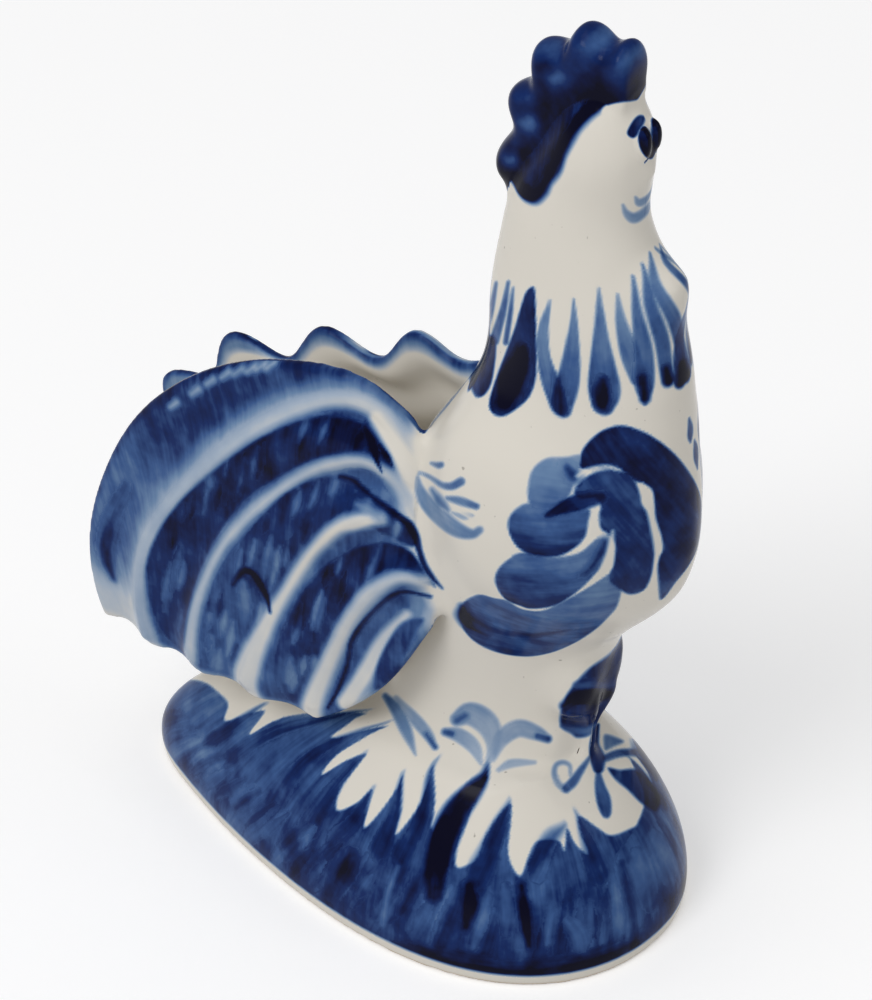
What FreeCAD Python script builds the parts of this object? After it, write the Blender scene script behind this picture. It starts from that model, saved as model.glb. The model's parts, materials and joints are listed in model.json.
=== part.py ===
import FreeCAD, Part
import math
import os

V = FreeCAD.Vector

# Shell and joints
WALL = 3.4              # cast wall of the mound, body and neck
SEAT_Z = 31.5           # top of the mound, where the body is joined
NECK_SEAM_Z = 105.0     # level where the neck is joined to the body
SIZE_OF_ALL = 400.0     # larger than the whole figure

# Mound: egg-shaped plan, wide end under the bird
MOUND_HALF_LENGTH = 49.7
MOUND_HALF_WIDTH = 25.6
MOUND_EGG = 0.455       # how much wider the front is than the rear
MOUND_MID_X = 0.1
MOUND_CROWN_X = 18.0    # plan point that the mound closes in on
MOUND_PLAN_POINTS = 20
MOUND_STEPS = (         # level, share of the plan
    (0.0, 0.99), (3.0, 1.0), (8.0, 0.98), (14.0, 0.915), (20.0, 0.815),
    (25.0, 0.705), (29.0, 0.6), (SEAT_Z, 0.52),
)
FOOT_WIDTH = 5.0
FOOT_RECESS = 2.0
FLOOR_TOP = 5.0
VENT_RADIUS = 3.0

# Bird: level, middle along the bird, half length, half width
BIRD_STEPS = (
    (SEAT_Z, 14.8, 19.2, 10.8), (37.0, 15.6, 18.8, 9.4), (46.0, 17.3, 19.2, 9.8),
    (55.0, 20.2, 18.4, 11.6), (63.0, 24.1, 20.1, 14.2), (72.0, 26.8, 23.7, 17.0),
    (82.0, 28.0, 24.0, 18.0), (90.0, 29.2, 22.1, 17.6), (98.0, 31.1, 19.1, 15.8),
    (105.0, 32.6, 17.2, 13.4), (114.0, 32.6, 16.0, 11.8), (122.0, 32.2, 15.1, 10.4),
    (129.0, 31.0, 12.7, 9.2), (136.0, 30.6, 10.9, 8.2), (143.0, 32.9, 9.4, 7.6),
    (149.0, 34.4, 7.6, 6.6), (154.0, 35.0, 5.0, 4.6), (157.0, 35.2, 2.4, 2.2),
)
CAVITY_TOP_Z = 143.0

# Comb: a lobed ring sector round the crown of the head
COMB_X = 37.0
COMB_Z = 144.0
COMB_RADIUS = 19.4
COMB_SWAY = 1.3         # how much further the comb stands out where it is highest
COMB_HIGH = 0.234       # share of the rim before its highest place
COMB_SWAYS = 1.2
COMB_LOBE = 1.15
COMB_LOBES = 6.2
COMB_SPREAD = 1.8       # how the lobes grow longer towards the rear
COMB_FIRST_LOBE = 0.05  # share of the rim before the middle of the first lobe
COMB_NOSE = 6.0         # how far the rim falls away at its front end
COMB_NOSE_SHARE = 0.1
COMB_FROM = 77.5
COMB_TO = 208.0
COMB_ROOT_FRONT = (38.8, 150.0)
COMB_ROOT_REAR = (28.0, 132.6)
COMB_THICK = 7.2
COMB_ROUND = 3.0
COMB_ROUND_SHARE = 0.88   # share of a half circle that the edge turns through
COMB_ROUND_STEPS = 3
COMB_POINTS = 40

# Face and breast
BEAK_AT = (40.0, 143.8)
BEAK_HALF = (3.4, 2.8, 2.8)
EYE_AT = (41.5, 1.45, 149.0)
EYE_HALF = (1.6, 1.3, 2.9)
RUFF_AT = (42.4, 122.0)
RUFF_HALF = (6.6, 6.6, 8.0)

# Wing pads
WING_AT = (29.0, 8.2, 83.5)
WING_HALF = (19.5, 11.4, 23.0)

# Legs on the skirt
THIGH_AT = (32.3, 3.2, 50.5)
THIGH_HALF = (5.5, 5.0, 11.0)
SHANK_RADIUS = 2.0
SHANK_X = 34.8
SHANK_Y = 2.4
LEG_GAP = 0.2           # between the two legs at the middle
SHANK_SUNK = 0.2        # share of its length that starts below the seat, where the mound trims it
SHANK_LEAN = 1.2        # how far the shank leans forward towards the thigh

# Tail fans: arcs in side view, along the bird and up.
# The right wall has a plain rolled top, the left a scalloped one.
FAN_TOP = {
    "right": ((17.5, 79.0), (13.0, 86.5), (7.0, 92.8), (-0.5, 97.0), (-10.5, 97.0), (-22.5, 93.3),
              (-34.0, 86.2), (-44.4, 75.4), (-52.0, 61.0), (-55.8, 46.0), (-53.4, 31.0)),
    "left": ((15.0, 93.4), (6.0, 94.8), (-4.0, 94.2), (-13.5, 91.6), (-22.6, 88.2), (-32.0, 84.8),
             (-40.7, 80.6), (-48.5, 74.8), (-54.0, 67.4), (-57.0, 57.0), (-56.5, 45.0), (-52.0, 33.0)),
}
FAN_LOW = (
    (18.0, 66.0), (14.0, 58.5), (11.0, 52.5), (8.0, 47.2), (4.6, 42.4), (0.8, 38.2), (-3.2, 34.6),
    (-7.5, 31.6),
)
FAN_WALL = 3.4
FAN_EDGE_THIN = 0.5     # share of the wall that is lost towards its edges
FAN_EDGE_FADE = 14      # power by which the thinning dies out inside the wall
FAN_RIM_Y = 9.4         # half width over the rims
FAN_BELLY = 7.4         # how far the walls swell out below the rims
FAN_SWELL_TURN = 1.95   # the swell is a sine arc that starts past its top at the lower edge
FAN_SWELL_FADE = 0.88
FAN_ROOT_Y = 10.5       # half width where the walls leave the flanks
FAN_ROOT_SHARE = 0.35   # share of the length over which they swell out
FAN_FLUTE = 0.6         # height of the feather ridges
FAN_FEATHERS = 4        # feathers across one wall
FAN_RIM_PITCH = 0.172   # spacing of the rim lobes along the arc
FAN_RIM_FIRST = 0.169   # first lobe; the notches deepen up to it
FAN_RIM_NOTCH = {"right": 0.0, "left": 5.6}
FAN_TIP_NOTCH = 0.007
NOTCH_FADE = 4          # power by which the notches die out inside the wall
FAN_ALONG = 41
FAN_ACROSS = 33

# Floor of the napkin slot: its ends and half widths, half way into the walls
FLOOR_FRONT = (1.0, 14.6)
FLOOR_REAR = (-45.0, 9.6)
SLOT_FLOOR_Z = 41.0
SLOT_FLOOR_THICK = 3.4


def ellipsoid(centre, half):
    """Ball stretched to its half sizes along the three axes."""
    stretch = FreeCAD.Matrix()
    stretch.scale(*half)
    stretch.move(V(*centre))
    return Part.makeSphere(1.0).transformGeometry(stretch)


def mirrored(shape):
    """The same piece on the other side of the bird."""
    return shape.mirror(V(0, 0, 0), V(0, 1, 0))


def largest(shape):
    """The largest solid of a cut piece."""
    return max(shape.Solids, key=lambda solid: solid.Volume)


def closed_curve(points):
    """Smooth closed wire through points."""
    curve = Part.BSplineCurve()
    curve.interpolate(points, PeriodicFlag=True)
    return Part.Wire(curve.toShape())


def mound_plan(level, share, inset=0.0):
    """Egg-shaped outline of the mound at a level, drawn in by an inset."""
    points = []
    for i in range(MOUND_PLAN_POINTS):
        turn = 2 * math.pi * i / MOUND_PLAN_POINTS
        x = MOUND_MID_X + (MOUND_HALF_LENGTH - inset) * math.cos(turn)
        y = (MOUND_HALF_WIDTH - inset) * math.sin(turn) * (1 + MOUND_EGG * math.cos(turn))
        points.append(V(MOUND_CROWN_X + share * (x - MOUND_CROWN_X), share * y, level))
    return closed_curve(points)


def oval(level, middle, half_length, half_width):
    """Level oval section of the bird."""
    return Part.Wire(Part.Ellipse(V(middle, 0, level), half_length, half_width).toShape())


def make_mound():
    """Hollow mound with a recessed floor, a vent and a hole under the body."""
    outer = Part.makeLoft([mound_plan(z, share) for z, share in MOUND_STEPS], True)
    cavity_steps = [(FLOOR_TOP, 0.99)]
    cavity_steps += [(z, share) for z, share in MOUND_STEPS if FLOOR_TOP < z < SEAT_Z]
    cavity_steps[-1] = (SEAT_Z - WALL, cavity_steps[-1][1])
    hollow = Part.makeLoft([mound_plan(z, share, WALL) for z, share in cavity_steps], True)
    first_share = MOUND_STEPS[0][1]
    recess = Part.Face(mound_plan(0, first_share, FOOT_WIDTH)).extrude(V(0, 0, FOOT_RECESS))
    vent = Part.makeCylinder(VENT_RADIUS, FLOOR_TOP + 1, V(MOUND_MID_X, 0, 0))
    z, middle, half_length, half_width = BIRD_STEPS[0]
    throat = Part.Face(oval(z - 2 * WALL, middle, half_length - WALL, half_width - WALL))
    return outer.cut([hollow, recess, vent, throat.extrude(V(0, 0, 3 * WALL))])


def make_bird():
    """Whole outside of the bird from skirt to crown, and the hollow inside it."""
    outer = Part.makeLoft([oval(*step) for step in BIRD_STEPS], True)
    inner_steps = [step for step in BIRD_STEPS if step[0] <= CAVITY_TOP_Z]
    inner = Part.makeLoft([oval(z, x, a - WALL, b - WALL) for z, x, a, b in inner_steps], True)
    return outer, inner


def half_space(level, above):
    """Large block above or below a level."""
    size = SIZE_OF_ALL
    return Part.makeBox(size, size, size, V(-size / 2, -size / 2, level if above else level - size))


def comb_outline(side, inset):
    """Lobed outline of the comb on a plane beside the middle, drawn in by an inset."""
    points = []
    for i in range(COMB_POINTS + 1):
        share = i / COMB_POINTS
        turn = math.radians(COMB_FROM + share * (COMB_TO - COMB_FROM))
        radius = COMB_RADIUS - inset
        radius += COMB_SWAY * math.cos(2 * math.pi * COMB_SWAYS * (share - COMB_HIGH))
        past = share - COMB_FIRST_LOBE
        radius += COMB_LOBE * math.cos(2 * math.pi * past * (COMB_LOBES - COMB_SPREAD * past))
        radius -= COMB_NOSE * max(0.0, 1 - share / COMB_NOSE_SHARE) ** 2
        points.append(V(COMB_X + radius * math.cos(turn), side, COMB_Z + radius * math.sin(turn)))
    rim = Part.BSplineCurve()
    rim.interpolate(points)
    front, rear = (V(x, side, z) for x, z in (COMB_ROOT_FRONT, COMB_ROOT_REAR))
    return Part.Wire([rim.toShape(), Part.makeLine(points[-1], rear),
                      Part.makeLine(rear, front), Part.makeLine(front, points[0])])


def make_comb(bird):
    """Lobed comb, rounded towards its rim and seated on the crown."""
    steps = 2 * COMB_ROUND_STEPS
    sections = []
    for i in range(steps + 1):
        turn = math.pi * (i / steps - 0.5) * COMB_ROUND_SHARE
        side = COMB_THICK / 2 * math.sin(turn) / math.sin(math.pi / 2 * COMB_ROUND_SHARE)
        sections.append(comb_outline(side, COMB_ROUND * (1 - math.cos(turn))))
    return largest(Part.makeLoft(sections, True).cut(bird))


def arc_curve(points):
    """Smooth open arc in side view."""
    curve = Part.BSplineCurve()
    curve.interpolate([V(x, 0, z) for x, z in points])
    return curve


def at_share(curve, share):
    """Point at a share of the way along a curve."""
    return curve.value(curve.FirstParameter + share * (curve.LastParameter - curve.FirstParameter))


def inward_of(curve, share):
    """Direction square to an arc at a share of its length, into the wall."""
    step = 0.001
    run = at_share(curve, min(1.0, share + step)) - at_share(curve, max(0.0, share - step))
    return V(-run.z, 0, run.x).normalize()


def lobe(share):
    """1 on a lobe and 0 in the notch after half a pitch."""
    return 0.5 + 0.5 * math.cos(2 * math.pi * share)


def fan_half_width(along, across):
    """Half width of the tail over the outside of one wall, with its feather ridges."""
    swell = math.sin(FAN_SWELL_TURN * (1 - FAN_SWELL_FADE * across))
    ridge = lobe(FAN_FEATHERS * across) - 0.5
    full = FAN_RIM_Y + FAN_BELLY * swell + 2 * FAN_FLUTE * ridge
    leaving = math.sin(math.pi / 2 * min(1.0, along / FAN_ROOT_SHARE))
    return FAN_ROOT_Y + (full - FAN_ROOT_Y) * leaving


def fan_grid(side, depth):
    """Grid of points over the outer or inner face of a wall, depth 0 or 1."""
    top, low = arc_curve(FAN_TOP[side]), arc_curve(FAN_LOW)
    out = -1 if side == "right" else 1
    grid = []
    for i in range(FAN_ALONG):
        row = []
        for j in range(FAN_ACROSS):
            along, across = i / (FAN_ALONG - 1), j / (FAN_ACROSS - 1)
            tip = 1 - FAN_TIP_NOTCH * (1 - lobe(FAN_FEATHERS * across)) * along ** NOTCH_FADE
            s = along * tip
            point = at_share(low, s) * (1 - across) + at_share(top, s) * across
            notch = FAN_RIM_NOTCH[side] * (1 - lobe((s - FAN_RIM_FIRST) / FAN_RIM_PITCH))
            point += inward_of(top, s) * (notch * min(1.0, s / FAN_RIM_FIRST) * across ** NOTCH_FADE)
            thin = FAN_EDGE_THIN * max(along, across, 1 - across) ** FAN_EDGE_FADE
            inward = FAN_WALL * (depth + (0.5 - depth) * thin)
            row.append(V(point.x, out * (fan_half_width(s, across) - inward), point.z))
        grid.append(row)
    return grid


def make_fan(side, bird):
    """One tail wall: two fluted faces closed by the rim, trimmed to the body."""
    faces, borders = [], []
    for depth in (0, 1):
        surface = Part.BSplineSurface()
        surface.interpolate(fan_grid(side, depth))
        faces.append(surface.toShape())
        u0, u1, v0, v1 = surface.bounds()
        borders.append([surface.uIso(u0), surface.uIso(u1), surface.vIso(v0), surface.vIso(v1)])
    edges = [Part.makeRuledSurface(a.toShape(), b.toShape()) for a, b in zip(*borders)]
    shell = Part.Shell(faces + edges)
    shell.sewShape()
    solid = Part.Solid(shell)
    if solid.Volume < 0:
        solid.reverse()
    return largest(solid.cut(bird))


def make_slot_floor(bird, fans):
    """Floor between the two tail walls, trimmed to the walls and the body."""
    level = SLOT_FLOOR_Z - SLOT_FLOOR_THICK
    (front, front_half), (rear, rear_half) = FLOOR_FRONT, FLOOR_REAR
    outline = [V(front, -front_half, level), V(front, front_half, level),
               V(rear, rear_half, level), V(rear, -rear_half, level)]
    slab = Part.Face(Part.makePolygon(outline + outline[:1])).extrude(V(0, 0, SLOT_FLOOR_THICK))
    return largest(slab.cut([bird] + fans))


def make_leg(skirt, mound):
    """Right thigh and shank raised on the skirt and standing on the mound."""
    thigh = ellipsoid((THIGH_AT[0], -THIGH_AT[1], THIGH_AT[2]), THIGH_HALF)
    rise = V(SHANK_LEAN, 0, THIGH_AT[2] - SEAT_Z)
    start = V(SHANK_X, -SHANK_Y, SEAT_Z) - rise * SHANK_SUNK
    shank = Part.makeCylinder(SHANK_RADIUS, rise.Length, start, rise)
    far_side = Part.makeBox(SIZE_OF_ALL, SIZE_OF_ALL, SIZE_OF_ALL, V(0, -LEG_GAP / 2, 0))
    return largest(thigh.fuse(shank).cut([skirt, mound, far_side]))


def main():
    outer, inner = make_bird()
    nodes = {"base_mound": make_mound()}
    shell = outer.cut(inner)
    nodes["body_shell"] = shell.common(half_space(NECK_SEAM_Z, False))
    nodes["neck_and_head"] = shell.common(half_space(NECK_SEAM_Z, True))
    nodes["comb"] = make_comb(outer)
    beak = ellipsoid((BEAK_AT[0], 0, BEAK_AT[1]), BEAK_HALF)
    nodes["beak"] = largest(beak.cut(outer))
    ruff = ellipsoid((RUFF_AT[0], 0, RUFF_AT[1]), RUFF_HALF)
    nodes["breast_ruff"] = largest(ruff.cut(outer))
    eye = ellipsoid((EYE_AT[0], -EYE_AT[1], EYE_AT[2]), EYE_HALF)
    wing = ellipsoid((WING_AT[0], -WING_AT[1], WING_AT[2]), WING_HALF)
    fans = {side: make_fan(side, outer) for side in FAN_TOP}
    pairs = {
        "eye": largest(eye.cut([outer, nodes["beak"]])),
        "wing": largest(wing.cut([outer, fans["right"]])),
        "leg": make_leg(outer, nodes["base_mound"]),
    }
    for name, right in pairs.items():
        nodes["right_" + name] = right
        nodes["left_" + name] = mirrored(right)
    for side, fan in fans.items():
        nodes[side + "_tail_fan"] = fan
    nodes["slot_floor"] = make_slot_floor(outer, list(fans.values()))
    box = Part.Compound(list(nodes.values())).optimalBoundingBox()
    to_middle = V(-(box.XMin + box.XMax) / 2, -(box.YMin + box.YMax) / 2, -box.ZMin)
    os.makedirs("parts", exist_ok=True)
    for name, shape in nodes.items():
        if len(shape.Solids) == 1:
            shape = shape.Solids[0]
        shape.translated(to_middle).exportStep("parts/" + name + ".step")


main()
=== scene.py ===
"""Painted porcelain rooster napkin holder: one glazed skin over its members, brushwork, studio and camera."""
import json
import logging
import math
from dataclasses import dataclass
from enum import Enum

import bmesh
import bpy
import numpy as np
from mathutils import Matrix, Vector
from mathutils.bvhtree import BVHTree
from mathutils.kdtree import KDTree


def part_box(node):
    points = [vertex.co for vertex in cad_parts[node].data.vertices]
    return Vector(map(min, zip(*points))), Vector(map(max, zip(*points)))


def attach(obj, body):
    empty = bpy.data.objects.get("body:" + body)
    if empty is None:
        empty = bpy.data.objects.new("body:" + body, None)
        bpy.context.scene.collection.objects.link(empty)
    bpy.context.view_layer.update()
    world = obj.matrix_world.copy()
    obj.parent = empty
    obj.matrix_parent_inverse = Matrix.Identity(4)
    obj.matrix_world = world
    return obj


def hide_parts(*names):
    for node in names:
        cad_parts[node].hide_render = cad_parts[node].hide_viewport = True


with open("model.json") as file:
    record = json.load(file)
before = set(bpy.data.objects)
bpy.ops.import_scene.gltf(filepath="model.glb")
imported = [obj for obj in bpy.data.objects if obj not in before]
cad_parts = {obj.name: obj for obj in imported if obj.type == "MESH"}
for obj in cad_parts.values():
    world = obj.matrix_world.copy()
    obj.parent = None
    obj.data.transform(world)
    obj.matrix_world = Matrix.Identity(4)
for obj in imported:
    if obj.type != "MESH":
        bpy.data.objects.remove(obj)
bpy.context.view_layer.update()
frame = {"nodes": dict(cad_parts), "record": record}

log = logging.getLogger("rooster")

MM = 0.001
ROW_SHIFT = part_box("slot_floor")[0].x / MM + 45.0     # millimetres from the bird's own axis of X to the row's
BODY = "root"
WINGS = ("right_wing", "left_wing")
LEGS = ("right_leg", "left_leg")
EYES = ("right_eye", "left_eye")
FANS = ("right_tail_fan", "left_tail_fan")
FAR = 1e9               # farther than any place on a chart
TINY = 1e-9             # keeps a division by a length safe

Points = tuple[tuple[float, ...], ...]


class Lay(Enum):
    """How a stroke meets the colour that is already on the ware."""

    OVER = "over"       # covers what is there, or wipes it where the tone is low
    GLAZE = "glaze"     # deepens what is there


class Side(Enum):
    """A side of the bird, by the sign of Y."""

    RIGHT = -1
    LEFT = 1


def smooth_step(value: np.ndarray) -> np.ndarray:
    """Ease a ramp, clipped to 0 and 1, at both its ends."""
    ramp = np.clip(value, 0.0, 1.0)
    return ramp * ramp * (3.0 - 2.0 * ramp)


def flowing(points: np.ndarray, closed: bool = False, steps: int = 6) -> np.ndarray:
    """Draw a flowing line through a few points.

    Args:
        points: One point to a row.
        closed: True for a line that comes back to its start.
        steps: Short runs between two points.

    Returns:
        The points of the flowing line.
    """
    if closed:
        held = np.vstack((points[-1:], points, points[:2]))
    else:
        held = np.vstack((2 * points[:1] - points[1:2], points, 2 * points[-1:] - points[-2:-1]))
    share = np.linspace(0.0, 1.0, steps, endpoint=False)[:, None]
    runs = []
    for a, b, c, d in zip(held[:-3], held[1:-2], held[2:-1], held[3:]):
        runs.append(0.5 * (2 * b + (c - a) * share + (2 * a - 5 * b + 4 * c - d) * share ** 2
                           + (3 * b - a - 3 * c + d) * share ** 3))
    line = np.vstack(runs)
    return line if closed else np.vstack((line, points[-1:]))


@dataclass(frozen=True)
class Stroke:
    """One pull of the brush: places on a chart with the half width there, in millimetres."""

    path: Points
    tone: tuple[float, float] = (0.9, 0.9)
    edge: float = 0.32
    lay: Lay = Lay.GLAZE
    both: bool = True


@dataclass(frozen=True)
class Wash:
    """An area of colour inside a closed outline on a chart.

    The tone is that at its foot, rise the change of tone up to its top, and grain the way the brush went in degrees.
    """

    outline: Points
    tone: float = 0.9
    edge: float = 0.4
    lay: Lay = Lay.OVER
    both: bool = True
    grain: float = 90.0
    rise: float = 0.0


def gap_to(line: np.ndarray, spots: np.ndarray) -> np.ndarray:
    """Measure how far places lie from an open line.

    Args:
        line: Points of the line.
        spots: Places on the same chart.

    Returns:
        Distance to the line.
    """
    gap = np.full(len(spots), FAR)
    for start, end in zip(line[:-1], line[1:]):
        run = end - start
        off = spots - start
        share = np.clip(off @ run / max(run @ run, TINY), 0.0, 1.0)
        gap = np.minimum(gap, np.hypot(*(off - np.outer(share, run)).T))
    return gap


def depth_inside(outline: np.ndarray, spots: np.ndarray) -> np.ndarray:
    """Measure how far places lie inside a closed outline.

    Args:
        outline: Points of the outline.
        spots: Places on the same chart.

    Returns:
        Distance to the outline, below 0 outside it.
    """
    closed = np.vstack((outline, outline[:1]))
    inside = np.zeros(len(spots), bool)
    for start, end in zip(closed[:-1], closed[1:]):
        if start[1] != end[1]:
            run = end - start
            spans = (spots[:, 1] < start[1]) != (spots[:, 1] < end[1])
            inside ^= spans & (spots[:, 0] < start[0] + (spots[:, 1] - start[1]) * run[0] / run[1])
    gap = gap_to(closed, spots)
    return np.where(inside, gap, -gap)


@dataclass
class Skin:
    """The joined skin as rows of numbers, in millimetres in the bird's own axes."""

    place: np.ndarray
    normal: np.ndarray
    member: np.ndarray
    names: list[str]
    cobalt: np.ndarray
    brush: np.ndarray
    bare: np.ndarray

    def rows(self, *names: str) -> np.ndarray:
        """Find the row numbers of some members by their names."""
        return np.flatnonzero(np.isin(self.member, [self.names.index(name) for name in names]))

    def gap_from(self, rows: np.ndarray, *names: str) -> np.ndarray:
        """Measure how far rows lie from some members.

        Args:
            rows: Row numbers on the skin.
            names: Names of the members.

        Returns:
            Millimetres to the nearest place on those members.
        """
        there = self.rows(*names)
        tree = KDTree(len(there))
        for number, place in enumerate(self.place[there]):
            tree.insert(place, number)
        tree.balance()
        return np.array([tree.find(place)[2] for place in self.place[rows]])


class Canvas:
    """A flat chart over part of the skin, on which strokes are brushed."""

    OVERLAP = 0.22          # share of the paler of two glazes that deepens the other
    WET = 0.3               # cover from which a place shows the hairs of the brush
    FRESH = 3.7             # step from one stroke's hairs to the next one's
    HAIR = 0.02             # least half width of a stroke

    def __init__(self, skin: Skin, rows: np.ndarray, chart: np.ndarray) -> None:
        """Lay the chart.

        Args:
            skin: Skin that takes the colour.
            rows: Rows of the skin under the chart.
            chart: Place of each row on the chart, in millimetres.
        """
        self.skin = skin
        self.rows = rows
        self.chart = chart
        self.laid = 0

    def near(self, line: np.ndarray, reach: float, flip: bool) -> tuple[np.ndarray, np.ndarray]:
        """Pick the rows close to a line.

        Args:
            line: Points of the line.
            reach: Margin round its box.
            flip: True to use the chart's mirror image.

        Returns:
            Row numbers within the canvas, and their places on the chart.
        """
        chart = self.chart * (-1.0, 1.0) if flip else self.chart
        low, high = line.min(0) - reach, line.max(0) + reach
        picked = np.flatnonzero(((chart > low) & (chart < high)).all(1))
        return picked, chart[picked]

    def take(self, picked: np.ndarray, tone: np.ndarray, cover: np.ndarray, lay: Lay,
             across: np.ndarray, along: np.ndarray) -> None:
        """Put colour on the skin.

        Args:
            picked: Row numbers within the canvas.
            tone: Depth of colour.
            cover: Share of the surface that the brush wets.
            lay: How it meets the colour already there.
            across: Millimetres across the brush.
            along: Millimetres along the pull.
        """
        rows = self.rows[picked]
        old = self.skin.cobalt[rows]
        if lay is Lay.OVER:
            new = old + (tone - old) * cover
        else:
            depth = tone * cover
            new = np.maximum(old, depth) + self.OVERLAP * np.minimum(old, depth)
        self.skin.cobalt[rows] = new
        wet = cover > self.WET
        self.laid += 1
        self.skin.brush[rows[wet]] = np.column_stack((across, along, np.full(len(rows), self.FRESH * self.laid)))[wet]

    def pull(self, stroke: Stroke, flip: bool = False) -> None:
        """Brush one stroke.

        Args:
            stroke: The stroke.
            flip: True to brush its mirror image.
        """
        line = flowing(np.array(stroke.path, float))
        line[:, 2] = np.maximum(line[:, 2], self.HAIR)
        picked, spot = self.near(line[:, :2], line[:, 2].max() + 2 * stroke.edge, flip)
        if not len(picked):
            return
        runs = np.hypot(*(line[1:, :2] - line[:-1, :2]).T)
        total = max(runs.sum(), TINY)
        gap = np.full(len(picked), FAR)
        along, across = np.zeros(len(picked)), np.zeros(len(picked))
        gone = 0.0
        for start, end, run in zip(line[:-1], line[1:], runs):
            if run < TINY:
                continue
            ahead = (end[:2] - start[:2]) / run
            off = spot - start[:2]
            share = np.clip(off @ ahead / run, 0.0, 1.0)
            width = start[2] + (end[2] - start[2]) * share
            off = off - np.outer(share * run, ahead)
            there = np.hypot(off[:, 0], off[:, 1]) - width
            closer = there < gap
            gap[closer] = there[closer]
            along[closer] = gone + share[closer] * run
            across[closer] = (ahead[0] * off[:, 1] - ahead[1] * off[:, 0])[closer]
            gone += run
        cover = smooth_step(0.5 - gap / (2 * stroke.edge))
        tone = stroke.tone[0] + (stroke.tone[1] - stroke.tone[0]) * along / total
        self.take(picked, tone, cover, stroke.lay, across, along)

    def fill(self, wash: Wash, flip: bool = False) -> None:
        """Fill an area.

        Args:
            wash: The area.
            flip: True to fill its mirror image.
        """
        line = flowing(np.array(wash.outline, float), True, 4)
        picked, spot = self.near(line, 2 * wash.edge, flip)
        if not len(picked):
            return
        cover = smooth_step(0.5 + depth_inside(line, spot) / (2 * wash.edge))
        turn = math.radians(wash.grain)
        along = spot @ (math.cos(turn), math.sin(turn))
        across = spot @ (math.sin(turn), -math.cos(turn))
        low, high = line[:, 1].min(), line[:, 1].max()
        tone = wash.tone + wash.rise * np.clip((spot[:, 1] - low) / (high - low), 0, 1)
        self.take(picked, tone, cover, wash.lay, across, along)

    def lay(self, item: Stroke | Wash, flip: bool = False) -> None:
        """Lay one stroke or wash.

        Args:
            item: The stroke or wash.
            flip: True to lay its mirror image.
        """
        if isinstance(item, Wash):
            self.fill(item, flip)
        else:
            self.pull(item, flip)

    def paint(self, work: list[Stroke | Wash]) -> None:
        """Lay strokes and washes in turn, with their mirror images where they have one.

        Args:
            work: Strokes and washes, in the order in which they are laid.
        """
        for item in work:
            self.lay(item)
            if item.both:
                self.lay(item, True)


def toward(turn: float, rise: float) -> Vector:
    """Point away from the object, in degrees round from straight in front of -Y towards +X and degrees up."""
    a, e = math.radians(turn), math.radians(rise)
    return Vector((math.sin(a) * math.cos(e), -math.cos(a) * math.cos(e), math.sin(e)))


@dataclass(frozen=True)
class PhotoView:
    """The photograph's viewpoint, in millimetres in the bird's own axes."""

    turn: float = 32.0
    rise: float = 36.0
    distance: float = 676.2
    lens: float = 154.44
    sensor: float = 36.0
    target: tuple[float, float, float] = (7.0, -2.29, 72.83)
    wide: int = 872
    tall: int = 1000

    def eye(self) -> np.ndarray:
        """Find the place of the camera."""
        return np.array(self.target) + np.array(toward(self.turn, self.rise)) * self.distance

    def chart(self, place: np.ndarray) -> np.ndarray:
        """Look at places from the camera.

        Args:
            place: Places on the skin.

        Returns:
            Where they are in the picture from its top left corner, in millimetres at the object.
        """
        back = np.array(toward(self.turn, self.rise))
        right = np.array((math.cos(math.radians(self.turn)), math.sin(math.radians(self.turn)), 0.0))
        off = place - np.array(self.target)
        grow = self.distance / (self.distance - off @ back)
        middle = np.array((self.wide, self.tall)) / 2 / self.grain()
        return np.column_stack((off @ right, -(off @ np.cross(back, right)))) * grow[:, None] + middle

    def grain(self) -> float:
        """Count the picture's pixels to a millimetre at the object."""
        return self.tall * self.lens / self.sensor / self.distance

    def on(self, *points: tuple[float, ...]) -> Points:
        """Turn pixels across and down and, for a stroke, its half width, into places on the chart."""
        return tuple(tuple(value / self.grain() for value in point) for point in points)


class Sight:
    """What the photograph's viewpoint, or its mirror image, sees of the skin."""

    GRAZING = 0.04          # least cosine between a line of sight and the way the skin faces
    CLEAR = 0.3             # millimetres off the skin at which a line of sight starts

    def __init__(self, cast: bpy.types.Object, skin: Skin, view: PhotoView) -> None:
        """Look at the skin.

        Args:
            cast: The joined skin.
            skin: Its rows.
            view: The viewpoint.
        """
        self.skin = skin
        self.view = view
        self.tree = BVHTree.FromObject(cast, bpy.context.evaluated_depsgraph_get())

    def canvas(self, names: tuple[str, ...], side: Side, over: float) -> Canvas:
        """Lay the picture's chart on the members.

        Args:
            names: Names of the members.
            side: Side of the bird that is looked at.
            over: Millimetres that marks may reach over the middle of the bird.

        Returns:
            A canvas over the rows that are seen.
        """
        rows = self.skin.rows(*names)
        mirror = np.array((1.0, -side.value, 1.0))
        eye = self.view.eye()
        place, normal = self.skin.place[rows] * mirror, self.skin.normal[rows] * mirror
        ray = eye - place
        ray /= np.linalg.norm(ray, axis=1)[:, None]
        faces = np.flatnonzero(((ray * normal).sum(1) > self.GRAZING) & (place[:, 1] < over))
        starts = ((place + normal * self.CLEAR)[faces] * mirror + (ROW_SHIFT, 0, 0)) * MM
        clear = [self.tree.ray_cast(start, way)[0] is None for start, way in zip(starts, ray[faces] * mirror)]
        seen = faces[np.array(clear, bool)]
        return Canvas(self.skin, rows[seen], self.view.chart(place[seen]))

    def paint(self, names: tuple[str, ...], work: list[Stroke | Wash], sides: tuple[Side, ...] = tuple(Side),
              over: float = 0.1) -> None:
        """Lay strokes where the picture shows them.

        Args:
            names: Names of the members that take them.
            work: Strokes and washes on the picture's chart.
            sides: Sides of the bird that are painted.
            over: Millimetres that marks may reach over the middle of the bird.
        """
        for side in sides:
            canvas = self.canvas(names, side, over)
            for item in work:
                canvas.lay(item)


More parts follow.
